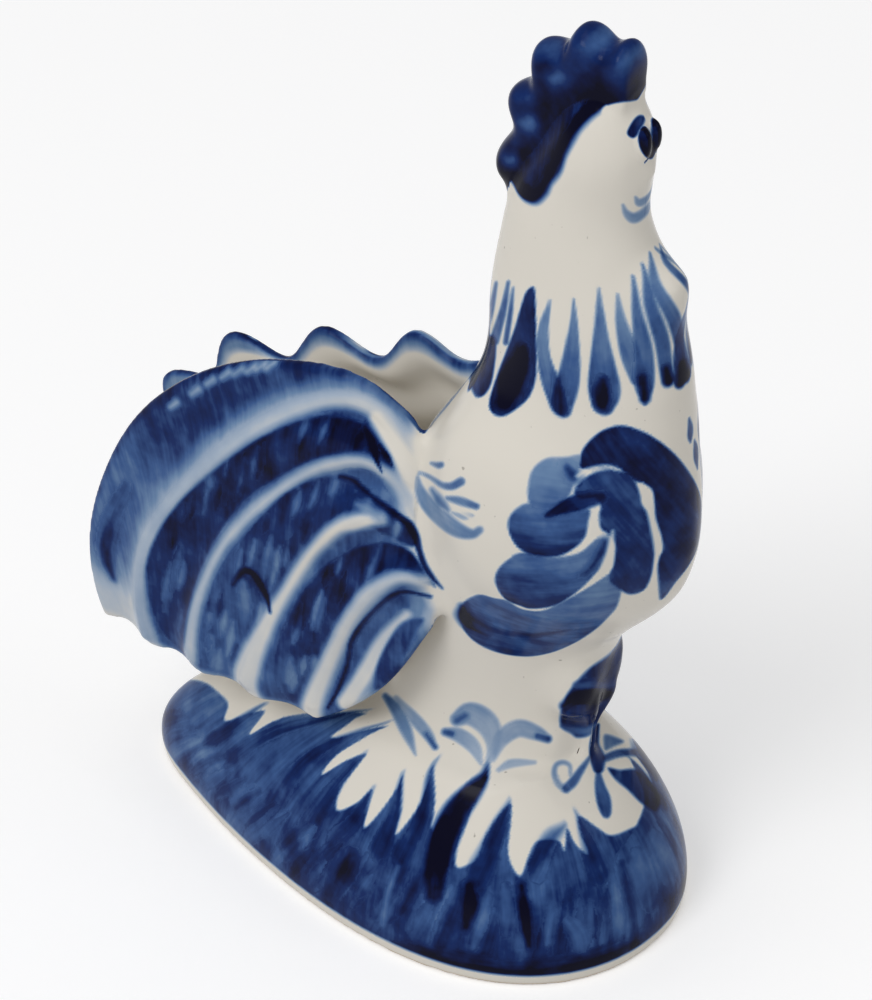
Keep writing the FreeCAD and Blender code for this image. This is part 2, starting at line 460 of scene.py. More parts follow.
@dataclass(frozen=True)
class GlazeFinish:
    """Clear gloss glaze over brushed cobalt on white porcelain."""

    name: str
    gloss: float = 0.16
    shine: float = 0.06
    ripple: float = 0.05
    streak: float = 0.14
    cloud: float = 0.16

    RAMP = (
        (0.00, (0.775, 0.735, 0.660)), (0.05, (0.745, 0.715, 0.655)), (0.20, (0.400, 0.480, 0.590)),
        (0.40, (0.150, 0.252, 0.425)), (0.58, (0.046, 0.108, 0.285)), (0.74, (0.008, 0.026, 0.126)),
        (0.89, (0.004, 0.008, 0.050)), (1.00, (0.003, 0.003, 0.014)),
    )
    FULL = 1.35             # depth of colour at the dark end of the ramp
    BISQUE = (0.60, 0.50, 0.385)
    DUST = (0.16, 0.13, 0.10)
    HAIRS = (0.5, 0.07, 1.0)            # how fine the brush's hairs are across, along and between strokes
    CLOUD_SCALE = 170.0                 # scales are to a metre
    DUST_SCALE = 900.0
    SWELL_SCALE = 75.0
    SWELL_DEPTH = 0.004

    def material(self) -> bpy.types.Material:
        """Make the material.

        Returns:
            The material, with its nodes wired.
        """
        material = bpy.data.materials.new(self.name)
        material.use_nodes = True
        tree = material.node_tree
        tree.nodes.clear()

        def add(kind: str, **sockets: object) -> bpy.types.Node:
            """Add a node and set its unlinked sockets.

            Args:
                kind: Type of the node.
                sockets: Values or output sockets by socket name, with _ for a space, or by number after an n.

            Returns:
                The node.
            """
            node = tree.nodes.new(kind)
            for key, value in sockets.items():
                socket = node.inputs[int(key[1:])] if key[1:].isdigit() else node.inputs[key.replace("_", " ")]
                if isinstance(value, bpy.types.NodeSocket):
                    tree.links.new(value, socket)
                else:
                    socket.default_value = value
            return node

        def sum_of(kind: str, first: object, second: object) -> bpy.types.NodeSocket:
            """Combine two values.

            Args:
                kind: Name of the operation.
                first: First value or socket.
                second: Second value or socket.

            Returns:
                The socket of the result.
            """
            node = add("ShaderNodeMath", n0=first, n1=second)
            node.operation = kind
            return node.outputs[0]

        def read(name: str) -> bpy.types.Node:
            """Read a value that is painted on the piece.

            Args:
                name: Name of the painted value.

            Returns:
                The node that reads it.
            """
            node = add("ShaderNodeAttribute")
            node.attribute_name = name
            return node

        place = add("ShaderNodeTexCoord").outputs["Object"]
        cobalt = read("cobalt").outputs["Fac"]
        pulled = add("ShaderNodeVectorMath", n0=read("brush").outputs["Vector"], n1=self.HAIRS)
        pulled.operation = "MULTIPLY"
        hairs = add("ShaderNodeTexNoise", Vector=pulled.outputs[0], Scale=1.0, Detail=2.5, Roughness=0.6)
        clouds = add("ShaderNodeTexNoise", Vector=place, Scale=self.CLOUD_SCALE, Detail=3.0, Roughness=0.55)
        swing = sum_of("MULTIPLY", sum_of("SUBTRACT", hairs.outputs["Fac"], 0.5), 4 * self.streak)
        drift = sum_of("MULTIPLY", sum_of("SUBTRACT", clouds.outputs["Fac"], 0.5), 4 * self.cloud)
        depth = sum_of("MULTIPLY", cobalt, sum_of("ADD", sum_of("ADD", swing, drift), 1.0))
        ramp = add("ShaderNodeValToRGB", Fac=sum_of("DIVIDE", depth, self.FULL))
        for number, (at, colour) in enumerate(self.RAMP):
            stops = ramp.color_ramp.elements
            stop = stops[number] if number < 2 else stops.new(at)
            stop.position, stop.color = at, (*colour, 1.0)
        specks = add("ShaderNodeTexNoise", Vector=place, Scale=self.DUST_SCALE, Detail=1.0)
        speck = add("ShaderNodeMapRange", Value=specks.outputs["Fac"], n1=0.77, n2=0.82, n3=0.0, n4=0.5)
        plain = add("ShaderNodeMapRange", Value=cobalt, n1=0.0, n2=0.1, n3=1.0, n4=0.0)
        dusty = sum_of("MULTIPLY", speck.outputs[0], plain.outputs[0])
        dusted = add("ShaderNodeMix", n0=dusty, n6=ramp.outputs["Color"], n7=(*self.DUST, 1.0))
        dusted.data_type = "RGBA"
        bare = read("bare").outputs["Fac"]
        coloured = add("ShaderNodeMix", n0=bare, n6=dusted.outputs[2], n7=(*self.BISQUE, 1.0))
        coloured.data_type = "RGBA"
        swell = add("ShaderNodeTexNoise", Vector=place, Scale=self.SWELL_SCALE, Detail=2.0)
        bump = add("ShaderNodeBump", Strength=self.ripple, Distance=self.SWELL_DEPTH, Height=swell.outputs["Fac"])
        rough = add("ShaderNodeMapRange", Value=clouds.outputs["Fac"], n1=0.3, n2=0.7,
                    n3=self.gloss * 0.8, n4=self.gloss * 1.25)
        rough = sum_of("ADD", rough.outputs[0], sum_of("MULTIPLY", bare, 0.5))
        glaze = add("ShaderNodeBsdfPrincipled", Base_Color=coloured.outputs[2], Roughness=rough,
                    Normal=bump.outputs[0], Specular_IOR_Level=self.shine)
        out = add("ShaderNodeOutputMaterial")
        tree.links.new(glaze.outputs[0], out.inputs["Surface"])
        return material


@dataclass
class TailFan:
    """One wall of the tail, painted with curved feathers outside and a blue rim inside."""

    node: str
    side: Side
    hub: tuple[float, float] = (8.0, 50.0)
    rim_band: float = 4.6
    ridge: float = 0.55
    streaks: int = 130
    seed: int = 3

    PALE_ARCS = (
        ((9.3, 84, 1.2), (6.2, 89.7, 1.3), (2.5, 93.2, 1.3), (-3.4, 93.7, 1.2), (-10.6, 90.4, 1.2),
         (-17.6, 85, 1.2), (-24.9, 77.6, 1.2), (-32, 68.6, 1.2), (-38.4, 58.7, 1.3), (-42.3, 49.1, 1.5),
         (-43.2, 39.2, 1.9), (-42.4, 32, 2.6)),
        ((11, 79, 1.4), (7.2, 82.9, 1.3), (2.2, 85.5, 1.2), (-3.2, 83.7, 1.1), (-9.3, 79.3, 1), (-16.9, 71.3, 1),
         (-24, 61.5, 1), (-27.9, 53, 1), (-30.6, 44.7, 1.2), (-32.3, 34.3, 1.6)),
        ((5.5, 77, 1.0), (2.9, 76, 1.3), (-1.9, 73, 1.2), (-7.4, 65.5, 1.1), (-12.6, 55.5, 1.2), (-16.6, 47.1, 1.7),
         (-20.5, 36.3, 2.7), (-20.8, 31.8, 3.2)),
        ((13, 67.4, 0.9), (9, 67.4, 1.1), (4.5, 63.1, 1.5), (-0.1, 55.1, 1.4), (-3.8, 46.3, 1.5), (-7.1, 37.5, 1.9),
         (-8.3, 33.1, 2.2)),
    )
    DARK_BANDS = (
        ((6, 85.6), (1.7, 90.4), (-4.2, 90.6), (-10, 88.4), (-17.1, 83.3), (-26, 74.1), (-34.1, 63.9), (-40, 52.8),
         (-41.3, 44.2), (-39.3, 35.4), (-34.6, 33.1), (-34.2, 33.8), (-32.3, 44.2), (-29.7, 53.2), (-25.7, 62.5),
         (-19.7, 71.4), (-11.2, 79.7), (-4.4, 84.6), (1, 86.1)),
        ((10.8, 75.9), (6.3, 79), (0.7, 80.6), (-5.6, 80), (-13, 74.2), (-19.2, 65.6), (-25.1, 55.6), (-28.2, 46.5),
         (-29.9, 35.7), (-26, 33), (-22.6, 32.7), (-20.7, 40), (-15.4, 51.5), (-11.3, 60.5), (-4.3, 72.1),
         (0.7, 77), (4.9, 74.5), (10.3, 72.6)),
        ((14.7, 65.7), (10.4, 71.6), (4.9, 71.9), (-1.1, 67.9), (-7.5, 60.2), (-11.7, 51.4), (-14.1, 44),
         (-14.4, 36.2), (-11.6, 32.6), (-7.8, 40.5), (-4.6, 48.3), (-1.2, 56.8), (2.7, 63.5), (6.7, 68), (10.9, 68.5)),
    )
    # pale dashes along the top of the near rim: painted highlights, reflections of the light on the wavy rim
    RIM_HIGHLIGHT_DASHES = ((-36.5, 80.8), (-32.1, 84.9), (-29.2, 87.8), (-26.3, 90.1), (-23.8, 91.7), (-21.5, 92.9),
              (-19.6, 94.0), (-17.8, 94.8))
    BAND_TONES = (1.1, 0.98, 1.08)
    ARC_TONES = ((0.16, 0.36), (0.2, 0.26), (0.05, 0.16), (0.22, 0.1))
    # dark line in the crease to the right of the fourth pale arc: painted shade of the fold
    FOLD_SHADE = ((13.3, 64, 0.4), (9, 64.4, 0.5), (4.2, 58.7, 0.5), (0.1, 51.3, 0.5), (-1.2, 45.3, 0.45), (-3.1, 39.3, 0.4),
            (-4.9, 35.3, 0.3))
    ROOT = ((-20, 30), (-8.3, 30), (0, 38), (9, 55), (15, 66), (13, 78))
    ROLL = ((-46.5, 61, 0.6), (-50, 53, 1.6), (-51.8, 45, 2.0), (-50.5, 40.5, 1.0))
    SMUDGE = ((-20.8, 54.6, 0.6), (-20.6, 49.5, 1.0), (-21.2, 43.5, 0.5))
    HOOK = ((-22.6, 53.4, 0.2), (-20.6, 56.8, 0.55), (-18.7, 57.2, 0.7), (-16.9, 54, 0.7), (-15.6, 50.8, 0.3))
    GLEAM = ((10, 60, 0.8), (5.5, 53, 1.2), (2.2, 45, 1.5), (-1.5, 37.5, 1.6))
    TIP = ((12.7, 59.9), (9.4, 58.4), (7, 54.2), (4.7, 48), (4.1, 42.6), (7.2, 46), (9.8, 51.7), (11.5, 56.7))
    STREAK_ROOM = 0.8       # millimetres from a band's edge within which no streak starts
    STREAK_TONES = (-0.5, -0.36, -0.26, 0.12, 0.16)
    LIP = 1.6               # half width of a raised feather lip
    RIM_STEP = 0.6          # degrees between two measures of the rim
    RIM_COUNT = 602         # measures round the rim
    BAND_SPAN = 25          # measures over which the rim of the blue band is evened out
    GROUND_HAIRS = 40.0     # place of the first wash in the brush's hairs
    FACE_OUT = 0.12         # how far outward a place on the outer face looks, at least

    def rim_gap(self, x: np.ndarray, z: np.ndarray, span: int = 3) -> np.ndarray:
        """Measure how far places lie inside the rim.

        Args:
            x: Places along the bird.
            z: Levels.
            span: Measures over which the rim is evened out.

        Returns:
            Millimetres to the rim, measured from the hub of the feathers.
        """
        turn = np.degrees(np.arctan2(z - self.hub[1], x - self.hub[0])) % 360 / self.RIM_STEP
        reach = np.hypot(x - self.hub[0], z - self.hub[1])
        rim = np.zeros(self.RIM_COUNT)
        np.maximum.at(rim, np.round(turn).astype(int), reach)
        filled = np.flatnonzero(rim > 0)
        measures = np.arange(self.RIM_COUNT)
        rim = np.interp(measures, filled, rim[filled])
        weight = np.hanning(span + 2)
        even = np.convolve(np.pad(rim, span // 2, "edge"), weight[1:-1] / weight.sum(), "valid")
        return np.interp(turn, measures, even) - reach

    @staticmethod
    def cover(path: Points, tone: tuple[float, float], edge: float) -> Stroke:
        """Plan a stroke that covers what is there, on this wall alone."""
        return Stroke(path, tone, edge, lay=Lay.OVER, both=False)

    def streak_work(self, band: Points, tone: float, dice: np.random.Generator) -> list[Stroke]:
        """Plan the short streaks in a dark band.

        Args:
            band: Outline of the band.
            tone: Depth of its colour.
            dice: Source of chance.

        Returns:
            Strokes of the streaks.
        """
        outline = np.array(band, float)
        spots = dice.uniform(outline.min(0), outline.max(0), (self.streaks, 2))
        depths = depth_inside(outline, spots)
        inside = depths > self.STREAK_ROOM
        work = []
        for (x, z), room in zip(spots[inside], depths[inside]):
            long, half = min(dice.uniform(2.2, 5.5), room + 0.6), dice.uniform(0.3, 0.75)
            deep = tone + dice.choice(self.STREAK_TONES)
            path = ((x + 0.2 * long, z + long, 0.05), (x, z, half), (x - 0.25 * long, z - long, 0.05))
            work.append(self.cover(path, (deep, deep), 1.0))
        return work

    def feather_work(self) -> list[Stroke | Wash]:
        """Plan the feathers on the outer face.

        Returns:
            Pale arcs and dark bands in turn, then the marks over them.
        """
        dice = np.random.default_rng(self.seed)
        work: list[Stroke | Wash] = []
        for number, (arc, tones) in enumerate(zip(self.PALE_ARCS, self.ARC_TONES)):
            work.append(self.cover(arc, tones, 1.1))
            if number < len(self.DARK_BANDS):
                band, tone = self.DARK_BANDS[number], self.BAND_TONES[number]
                work.append(Wash(band, tone - 0.14, 0.45, both=False, rise=0.24))
                work += self.streak_work(band, tone, dice)
        work += [
            self.cover(self.SMUDGE, (0.7, 0.74), 1.1),
            self.cover(self.HOOK, (1.3, 1.3), 0.5),
            self.cover(self.GLEAM, (0.2, 0.1), 0.8),
            # painted shade along the fold
            Stroke(self.FOLD_SHADE, (1.0, 1.1), 0.35, both=False),
            Wash(self.TIP, 0.95, 0.5, both=False),
        ]
        # painted highlights along the rim
        for x, z in self.RIM_HIGHLIGHT_DASHES:
            work.append(self.cover(((x - 0.9, z - 1.1, 0.4), (x + 0.5, z + 0.4, 0.6)), (0.34, 0.38), 0.9))
        return work

    def raise_feathers(self, skin: Skin) -> None:
        """Raise the lips of the feathers a little along the pale arcs.

        Args:
            skin: Skin to raise.
        """
        rows = skin.rows(self.node)
        rows = rows[skin.normal[rows, 1] * self.side.value > 0.2]
        spot = skin.place[rows][:, [0, 2]]
        lift = np.zeros(len(rows))
        for arc in self.PALE_ARCS:
            line = flowing(np.array(arc, float))[:, :2]
            lift = np.maximum(lift, np.exp(-(gap_to(line, spot) / self.LIP) ** 2))
        fade = smooth_step((self.rim_gap(spot[:, 0], spot[:, 1]) - 1.0) / 3.0)
        skin.place[rows] += skin.normal[rows] * (self.ridge * lift * fade)[:, None]

    def ground(self, x: np.ndarray, z: np.ndarray, out: np.ndarray) -> np.ndarray:
        """Work out the first wash of both faces: a blue rim inside, and blue away from the first pale arc outside.

        Args:
            x: Places along the bird.
            z: Levels.
            out: How far each place faces outward, from -1 to 1.

        Returns:
            Depth of colour.
        """
        top = smooth_step((z - 38) / 12)
        band = smooth_step((self.rim_band - 1.4 - self.rim_gap(x, z, self.BAND_SPAN)) / 2.4) * top
        edge = smooth_step((1.8 - self.rim_gap(x, z)) / 1.6) * top
        inner = 0.52 * band + 0.4 * edge
        first = flowing(np.array(self.PALE_ARCS[0], float))[:, :2]
        away = gap_to(first, np.column_stack((x, z)))
        high = smooth_step((z - 58) / 20)
        outer = 0.4 + (0.34 + 0.24 * high) * smooth_step((away - 0.8) / 4.2) + 0.12 * edge
        outer = outer * (0.3 + 0.7 * smooth_step((z - 37) / 9))
        return inner + (outer - inner) * smooth_step((out + 0.35) / 0.3)

    def dress(self, skin: Skin) -> None:
        """Paint both faces of the wall.

        Args:
            skin: Skin to paint.
        """
        rows = skin.rows(self.node)
        x, z = skin.place[rows, 0], skin.place[rows, 2]
        out = skin.normal[rows, 1] * self.side.value
        skin.cobalt[rows] = self.ground(x, z, out)
        skin.brush[rows] = np.column_stack((x + 0.35 * z, z, np.full(len(rows), self.GROUND_HAIRS)))
        face = out > self.FACE_OUT
        canvas = Canvas(skin, rows[face], np.column_stack((x, z))[face])
        within = tuple(place[:2] for place in self.PALE_ARCS[0])
        canvas.paint([
            Wash((*within, *self.ROOT), 0.86, 0.6, both=False),
            Stroke(self.ROLL, (0.7, 1.0), 1.6, both=False),
        ])
        near = rows[(x > -10) & (out > 0.1)]
        joint = skin.gap_from(near, "body_shell", *WINGS)
        skin.cobalt[near] *= smooth_step((joint - 0.8) / 4.5)
        canvas.paint(self.feather_work())
        skin.cobalt[rows[face]] *= 0.3 + 0.7 * smooth_step((z[face] - 31.0) / 2.4)
        skin.cobalt[near] *= smooth_step((joint - 0.15) / 0.9)


@dataclass
class BirdBody:
    """Body, neck, head and wings, painted on a chart unrolled round the bird."""

    nodes: tuple[str, ...] = ("body_shell", "neck_and_head", "breast_ruff", "beak", *EYES, *WINGS, *LEGS)
    wing_lift: float = 0.14
    shank: tuple[float, float] = (35.0, 2.4)

    WING_LOBES = (
        (((59.6, 98.5), (60.1, 100.8), (56.4, 102.8), (50, 104.5), (40.7, 105.3), (31.7, 104.5), (22.4, 102.6),
          (12.5, 99.3), (3.5, 95.2), (-4.1, 90.5), (-9.9, 85.5), (-10, 81), (-5, 78), (0.5, 76.6), (6.9, 74.2),
          (10.5, 71.2), (15.7, 76.7), (17.3, 80.7), (15.8, 82.5), (17.2, 85.2), (20.4, 88.6), (20.8, 91), (21.9, 93.5),
          (25.9, 95), (31, 95.9), (34.5, 96.9), (38.6, 98), (44.2, 98.6), (51.1, 98.3)), 1.04, 0.14, 60.0),
        (((32.7, 79.2), (37.7, 80.7), (41.9, 79.9), (48.5, 77.6), (55.9, 74.7), (62.6, 72.1), (71.5, 71.2),
          (79.9, 72.1), (87.3, 71.1), (96.9, 69.8), (107.3, 65.4), (109.9, 61.7), (105.6, 58.5), (94, 56.5),
          (76.6, 55.6), (59.4, 55.8), (46.8, 56.8), (36.7, 59.4), (31.8, 64.6), (30.9, 69.6),
          (30.3, 73.1)), 0.98, -0.34, 0.0),
        (((46.3, 87.7), (52.3, 85.5), (58.1, 84.5), (65.2, 83.8), (74.1, 83.9), (80.9, 82.4), (86, 79.1), (87, 75.8),
          (81.5, 72.5), (72.2, 72), (67.1, 72.1), (57.8, 74), (50.4, 77.5), (45.6, 80.5), (42.6, 83.6), (42, 86.6)),
         1.08, -0.5, -20.0),
        (((63.6, 94.1), (69.9, 92.1), (80, 92.3), (85.3, 90.7), (87, 88.3), (83.9, 85.8), (78.4, 84.1), (71.2, 83.7),
          (61.9, 84.2), (55.8, 86), (52, 88), (51.5, 90.4), (51.4, 92.2), (57.6, 92.6)), 1.08, -0.42, -10.0),
        (((60.8, 100.3), (68.2, 99.8), (78.5, 99.2), (83.7, 97.4), (83.3, 95.2), (80.4, 92.6), (75.1, 91.7),
          (67.8, 92.2), (62.6, 94), (61, 95.9), (59.8, 97.9)), 0.72, -0.24, 0.0),
        (((60, 94.6), (58.7, 96.2), (52.3, 97.7), (44.1, 98.3), (37.2, 97.7), (31.4, 96.1), (28.2, 93.5), (26.9, 91.6),
          (22.8, 89.4), (20.5, 85.7), (19.4, 81.5), (19.3, 77.8), (20.9, 75.1), (26.4, 74.9), (31.9, 76.7),
          (38.5, 79.7), (37.9, 83), (38.4, 85.9), (42, 88), (45.5, 89.1), (47.4, 90.9), (46.7, 92.6), (49.7, 93.9),
          (56.1, 93.9)),
         1.02, -0.1, 60.0),
    )
    WING_SHADES = (
        (((107, 64, 1.0), (105, 61.5, 1.9), (99, 60, 1.4), (86, 59.5, 0.6)), 1.16),
        (((98, 62.6, 0.7), (80, 61.6, 0.8), (60, 62.6, 0.7), (45, 66.5, 0.4)), 0.94),
        (((66, 98.2, 1.0), (62, 97.2, 1.3)), 0.88),
        (((43, 87, 0.6), (44.5, 84.5, 0.9), (49, 81.5, 0.6)), 0.98),
    )
    WING_GAPS = (
        ((27.5, 95.2, 0.15), (24, 92.2, 0.6), (21.6, 88.4, 0.55), (18.6, 84, 0.6), (18, 80.5, 0.2)),
        ((60, 97.2, 0.25), (55, 98.2, 0.3), (46, 98.8, 0.25), (39, 98.1, 0.15)),
        ((49.6, 92.6, 0.3), (48.6, 90.4, 0.6), (49, 88.2, 0.35)),
        ((40.2, 88.4, 0.15), (40, 85.4, 0.5), (40.5, 82, 0.8), (45.5, 79.2, 0.4)),
    )

    SLOT_STRIP = ((165, 84, 0.5), (170, 89.8, 1.2), (171, 94.5, 1.5), (172, 99, 1.0))
    MANE = (                # drops, thin above and full below, with their tones and soft edges
        (((164, 120, 0.2), (160, 112, 1.2), (157, 102.7, 1.9)), (0.85, 1.15), 0.32),
        (((178, 121, 0.2), (176, 111, 1.5), (174, 101.5, 2.0)), (0.8, 1.12), 0.32),
        (((93.6, 123.4, 0.2), (95.9, 119, 1.0), (94, 114.8, 1.4), (88, 110.9, 2.0), (80, 107.5, 1.8)),
         (0.5, 0.82), 0.32),
        (((72, 124.6, 0.2), (70.8, 120, 0.85), (71.6, 115.4, 1.5), (73.5, 111.5, 1.9), (77.8, 107.4, 1.9)),
         (0.55, 0.86), 0.32),
        (((81, 111, 1.2), (79.5, 107.6, 1.6)), (0.94, 1.02), 1.2),
        (((51.2, 126.8, 0.2), (51, 120.3, 1.05), (50.2, 114.8, 1.95), (49.8, 111.2, 2.4), (50.8, 108.6, 1.7)),
         (0.6, 0.9), 0.32),
        (((50.5, 112.5, 0.9), (51, 110.4, 1.5), (51.5, 108.8, 1.2)), (1.04, 1.2), 0.8),
        (((37.5, 125.9, 0.2), (37, 121.8, 0.8), (33.5, 117, 1.35), (29.4, 112.8, 1.2)), (0.55, 0.75), 0.32),
        (((24.6, 128.3, 0.2), (27.2, 123.5, 0.6), (25.6, 117, 1.3), (26.5, 112, 1.4), (26.9, 108.7, 0.4)),
         (0.7, 0.86), 0.32),
        (((26.6, 112.8, 0.7), (26.8, 109.4, 0.7)), (1.05, 1.15), 0.6),
        (((14.7, 129.6, 0.2), (19.7, 124.3, 0.7), (13.5, 117.2, 1.1), (12.4, 111.5, 1.1)), (0.65, 0.85), 0.32),
        (((12.8, 113.2, 0.7), (12.2, 111.2, 0.9)), (1.05, 1.12), 0.6),
        (((4.3, 130.4, 0.25), (13.9, 126, 0.7), (1, 117.3, 1.2), (-3.5, 110.4, 1.4)), (0.6, 0.95), 0.32),
        (((-1.7, 112, 0.9), (-3, 110, 1.0)), (1.08, 1.15), 0.6),
    )
    BREAST = (              # drops that have no mirror image
        (((-13, 130, 0.2), (-3, 127.8, 0.7), (-11, 122, 0.3)), (0.8, 0.8), 0.32),
        (((-7, 122, 0.2), (-14, 117, 0.9), (-20, 110, 1.2)), (0.6, 0.95), 0.32),
        (((-24, 127, 0.2), (-27, 118, 1.2), (-29, 109, 1.4)), (0.6, 0.95), 0.32),
        (((-2, 102.5, 0.3), (-3, 100, 0.9), (-3, 98.4, 0.3)), (0.9, 0.95), 0.32),
        (((-7, 97.5, 0.3), (-8, 95, 1.0), (-8, 92.5, 0.3)), (0.9, 0.95), 0.32),
        (((-5, 88.8, 0.3), (-6, 86.6, 0.8), (-6, 84.8, 0.3)), (0.8, 0.9), 0.32),
    )
    CAP = ((30, 156.4), (47, 155.9), (67, 154.6), (86, 153), (100, 150.7), (105, 148.5), (109, 146.2), (110, 143.4),
           (117, 141.1), (119, 139.1), (126, 137.4), (137, 136.9), (148, 137), (165, 137.4))

    SHANK_TOP, SHANK_FADE = 44.5, 8.0       # level under which the shanks are drawn in, and how soon
    CROWN_LEVEL = 27.0                      # level above which the mound goes with them
    ANKLE_REACH, ANKLE_FADE = 7.0, 5.0      # how far round the ankle it does so
    SET_BACK, SLIM_X, SLIM_Y = 0.9, 0.4, 0.7

    AXIS = ((31.5, 46, 72, 105, 136, 157), (14.8, 17.3, 26.3, 32.6, 32.0, 34.6))
    GIRTH = ((31, 55, 82, 105, 122, 140, 157), (14, 15, 20, 15, 12.5, 9, 5))

    def chart(self, place: np.ndarray) -> np.ndarray:
        """Unroll places on the skin into millimetres round from the breast, and levels."""
        turn = np.arctan2(-place[:, 1], place[:, 0] - np.interp(place[:, 2], *self.AXIS))
        return np.column_stack((turn * np.interp(place[:, 2], *self.GIRTH), place[:, 2]))

    def on(self, *points: tuple[float, ...]) -> Points:
        """Turn degrees round from the breast, levels and, for a stroke, half widths into places on the chart."""
        return tuple((math.radians(p[0]) * float(np.interp(p[1], *self.GIRTH)), *p[1:]) for p in points)

    def wing_work(self) -> list[Stroke | Wash]:
        """Plan the curled wing feathers.

        Returns:
            Strokes of the wing.
        """
        on = self.on
        far_side = on(*((-max(turn, 14.0), level) for turn, level in self.WING_LOBES[0][0]))
        work: list[Stroke | Wash] = [Wash(far_side, 1.1, 0.3, both=False, grain=60)]
        for number, (lobe, tone, rise, grain) in enumerate(self.WING_LOBES):
            work.append(Wash(on(*lobe), tone, 0.3, both=number > 0, grain=grain, rise=rise))
        for path, tone in self.WING_SHADES:
            work.append(Stroke(on(*path), (tone, tone), 1.2))
        for path in self.WING_GAPS:
            work.append(Stroke(on(*path), (0.06, 0.06), 0.4, lay=Lay.OVER))
        return work

    def raise_wings(self, skin: Skin) -> None:
        """Raise the curled wing feathers a little.

        Args:
            skin: Skin to raise.
        """
        rows = skin.rows("body_shell", *WINGS)
        chart = self.chart(skin.place[rows])
        chart[:, 0] = np.abs(chart[:, 0])
        lift = np.zeros(len(rows))
        for lobe, *_ in self.WING_LOBES:
            outline = flowing(np.array(self.on(*lobe), float), True, 4)
            lift = np.maximum(lift, smooth_step((depth_inside(outline, chart) + 1.0) / 4.0))
        skin.place[rows] += skin.normal[rows] * (self.wing_lift * lift)[:, None]

    def mane_work(self) -> list[Stroke | Wash]:
        """Plan the strip beside the slot and the drops of the mane and the breast.

        Returns:
            Their strokes.
        """
        work: list[Stroke | Wash] = [Stroke(self.on(*self.SLOT_STRIP), (0.5, 0.6), 0.6)]
        for both, drops in ((True, self.MANE), (False, self.BREAST)):
            work += [Stroke(self.on(*path), tone, edge, both=both) for path, tone, edge in drops]
        return work

    def head_work(self) -> list[Stroke | Wash]:
        """Plan the cap under the comb.

        Returns:
            Strokes of the head.
        """
        on = self.on
        return [
            Wash(on((-14, 160), (-14, 157.8), *self.CAP, (181, 137.6), (181, 160)), 1.2, 0.35),
            Stroke(on(*((turn, level + 1.1, 1.0) for turn, level in self.CAP)), (1.26, 1.32), 0.8),
        ]

    def slim_shanks(self, skin: Skin) -> None:
        """Draw the shanks in to one slim pair under the thighs, as the photograph shows them.

        Args:
            skin: Skin to move.
        """
        legs, mound = skin.rows(*LEGS), skin.rows("base_mound")
        mound = mound[skin.place[mound, 2] > self.CROWN_LEVEL]
        x, y = skin.place[mound, 0] - self.shank[0], np.abs(skin.place[mound, 1]) - self.shank[1]
        for rows, share in ((legs, smooth_step((self.SHANK_TOP - skin.place[legs, 2]) / self.SHANK_FADE)),
                            (mound, smooth_step((self.ANKLE_REACH - np.hypot(x, y)) / self.ANKLE_FADE))):
            skin.place[rows, 0] -= share * (self.SET_BACK + self.SLIM_X * (skin.place[rows, 0] - self.shank[0]))
            skin.place[rows, 1] *= 1.0 - self.SLIM_Y * share

    def dress(self, skin: Skin) -> None:
        """Paint the bird.

        Args:
            skin: Skin to paint.
        """
        rows = skin.rows(*self.nodes)
        canvas = Canvas(skin, rows, self.chart(skin.place[rows]))
        canvas.paint(self.wing_work() + self.mane_work() + self.head_work())


@dataclass(frozen=True)
class Enlargement:
    """A part of the photograph that was enlarged to measure marks on it, by its scale and its top left pixel."""

    scale: float
    left: float
    top: float

    def pixels(self, points: Points) -> Points:
        """Turn places on the enlargement, with any half widths, into pixels of the photograph."""
        return tuple((x / self.scale + self.left, y / self.scale + self.top, *(half / self.scale for half in halves))
                     for x, y, *halves in points)


@dataclass(frozen=True)
class Mark:
    """A mark measured on an enlargement: a stroke where its points have half widths, or else a wash."""

    points: Points
    tone: float | tuple[float, float]
    edge: float
    lay: Lay = Lay.GLAZE


@dataclass(frozen=True)
class MarkSet:
    """Marks that are laid together on some members, on one or both sides of the bird and so far over its middle."""

    members: tuple[str, ...]
    part: Enlargement
    marks: tuple[Mark, ...]
    sides: tuple[Side, ...] = tuple(Side)
    over: float = 0.1


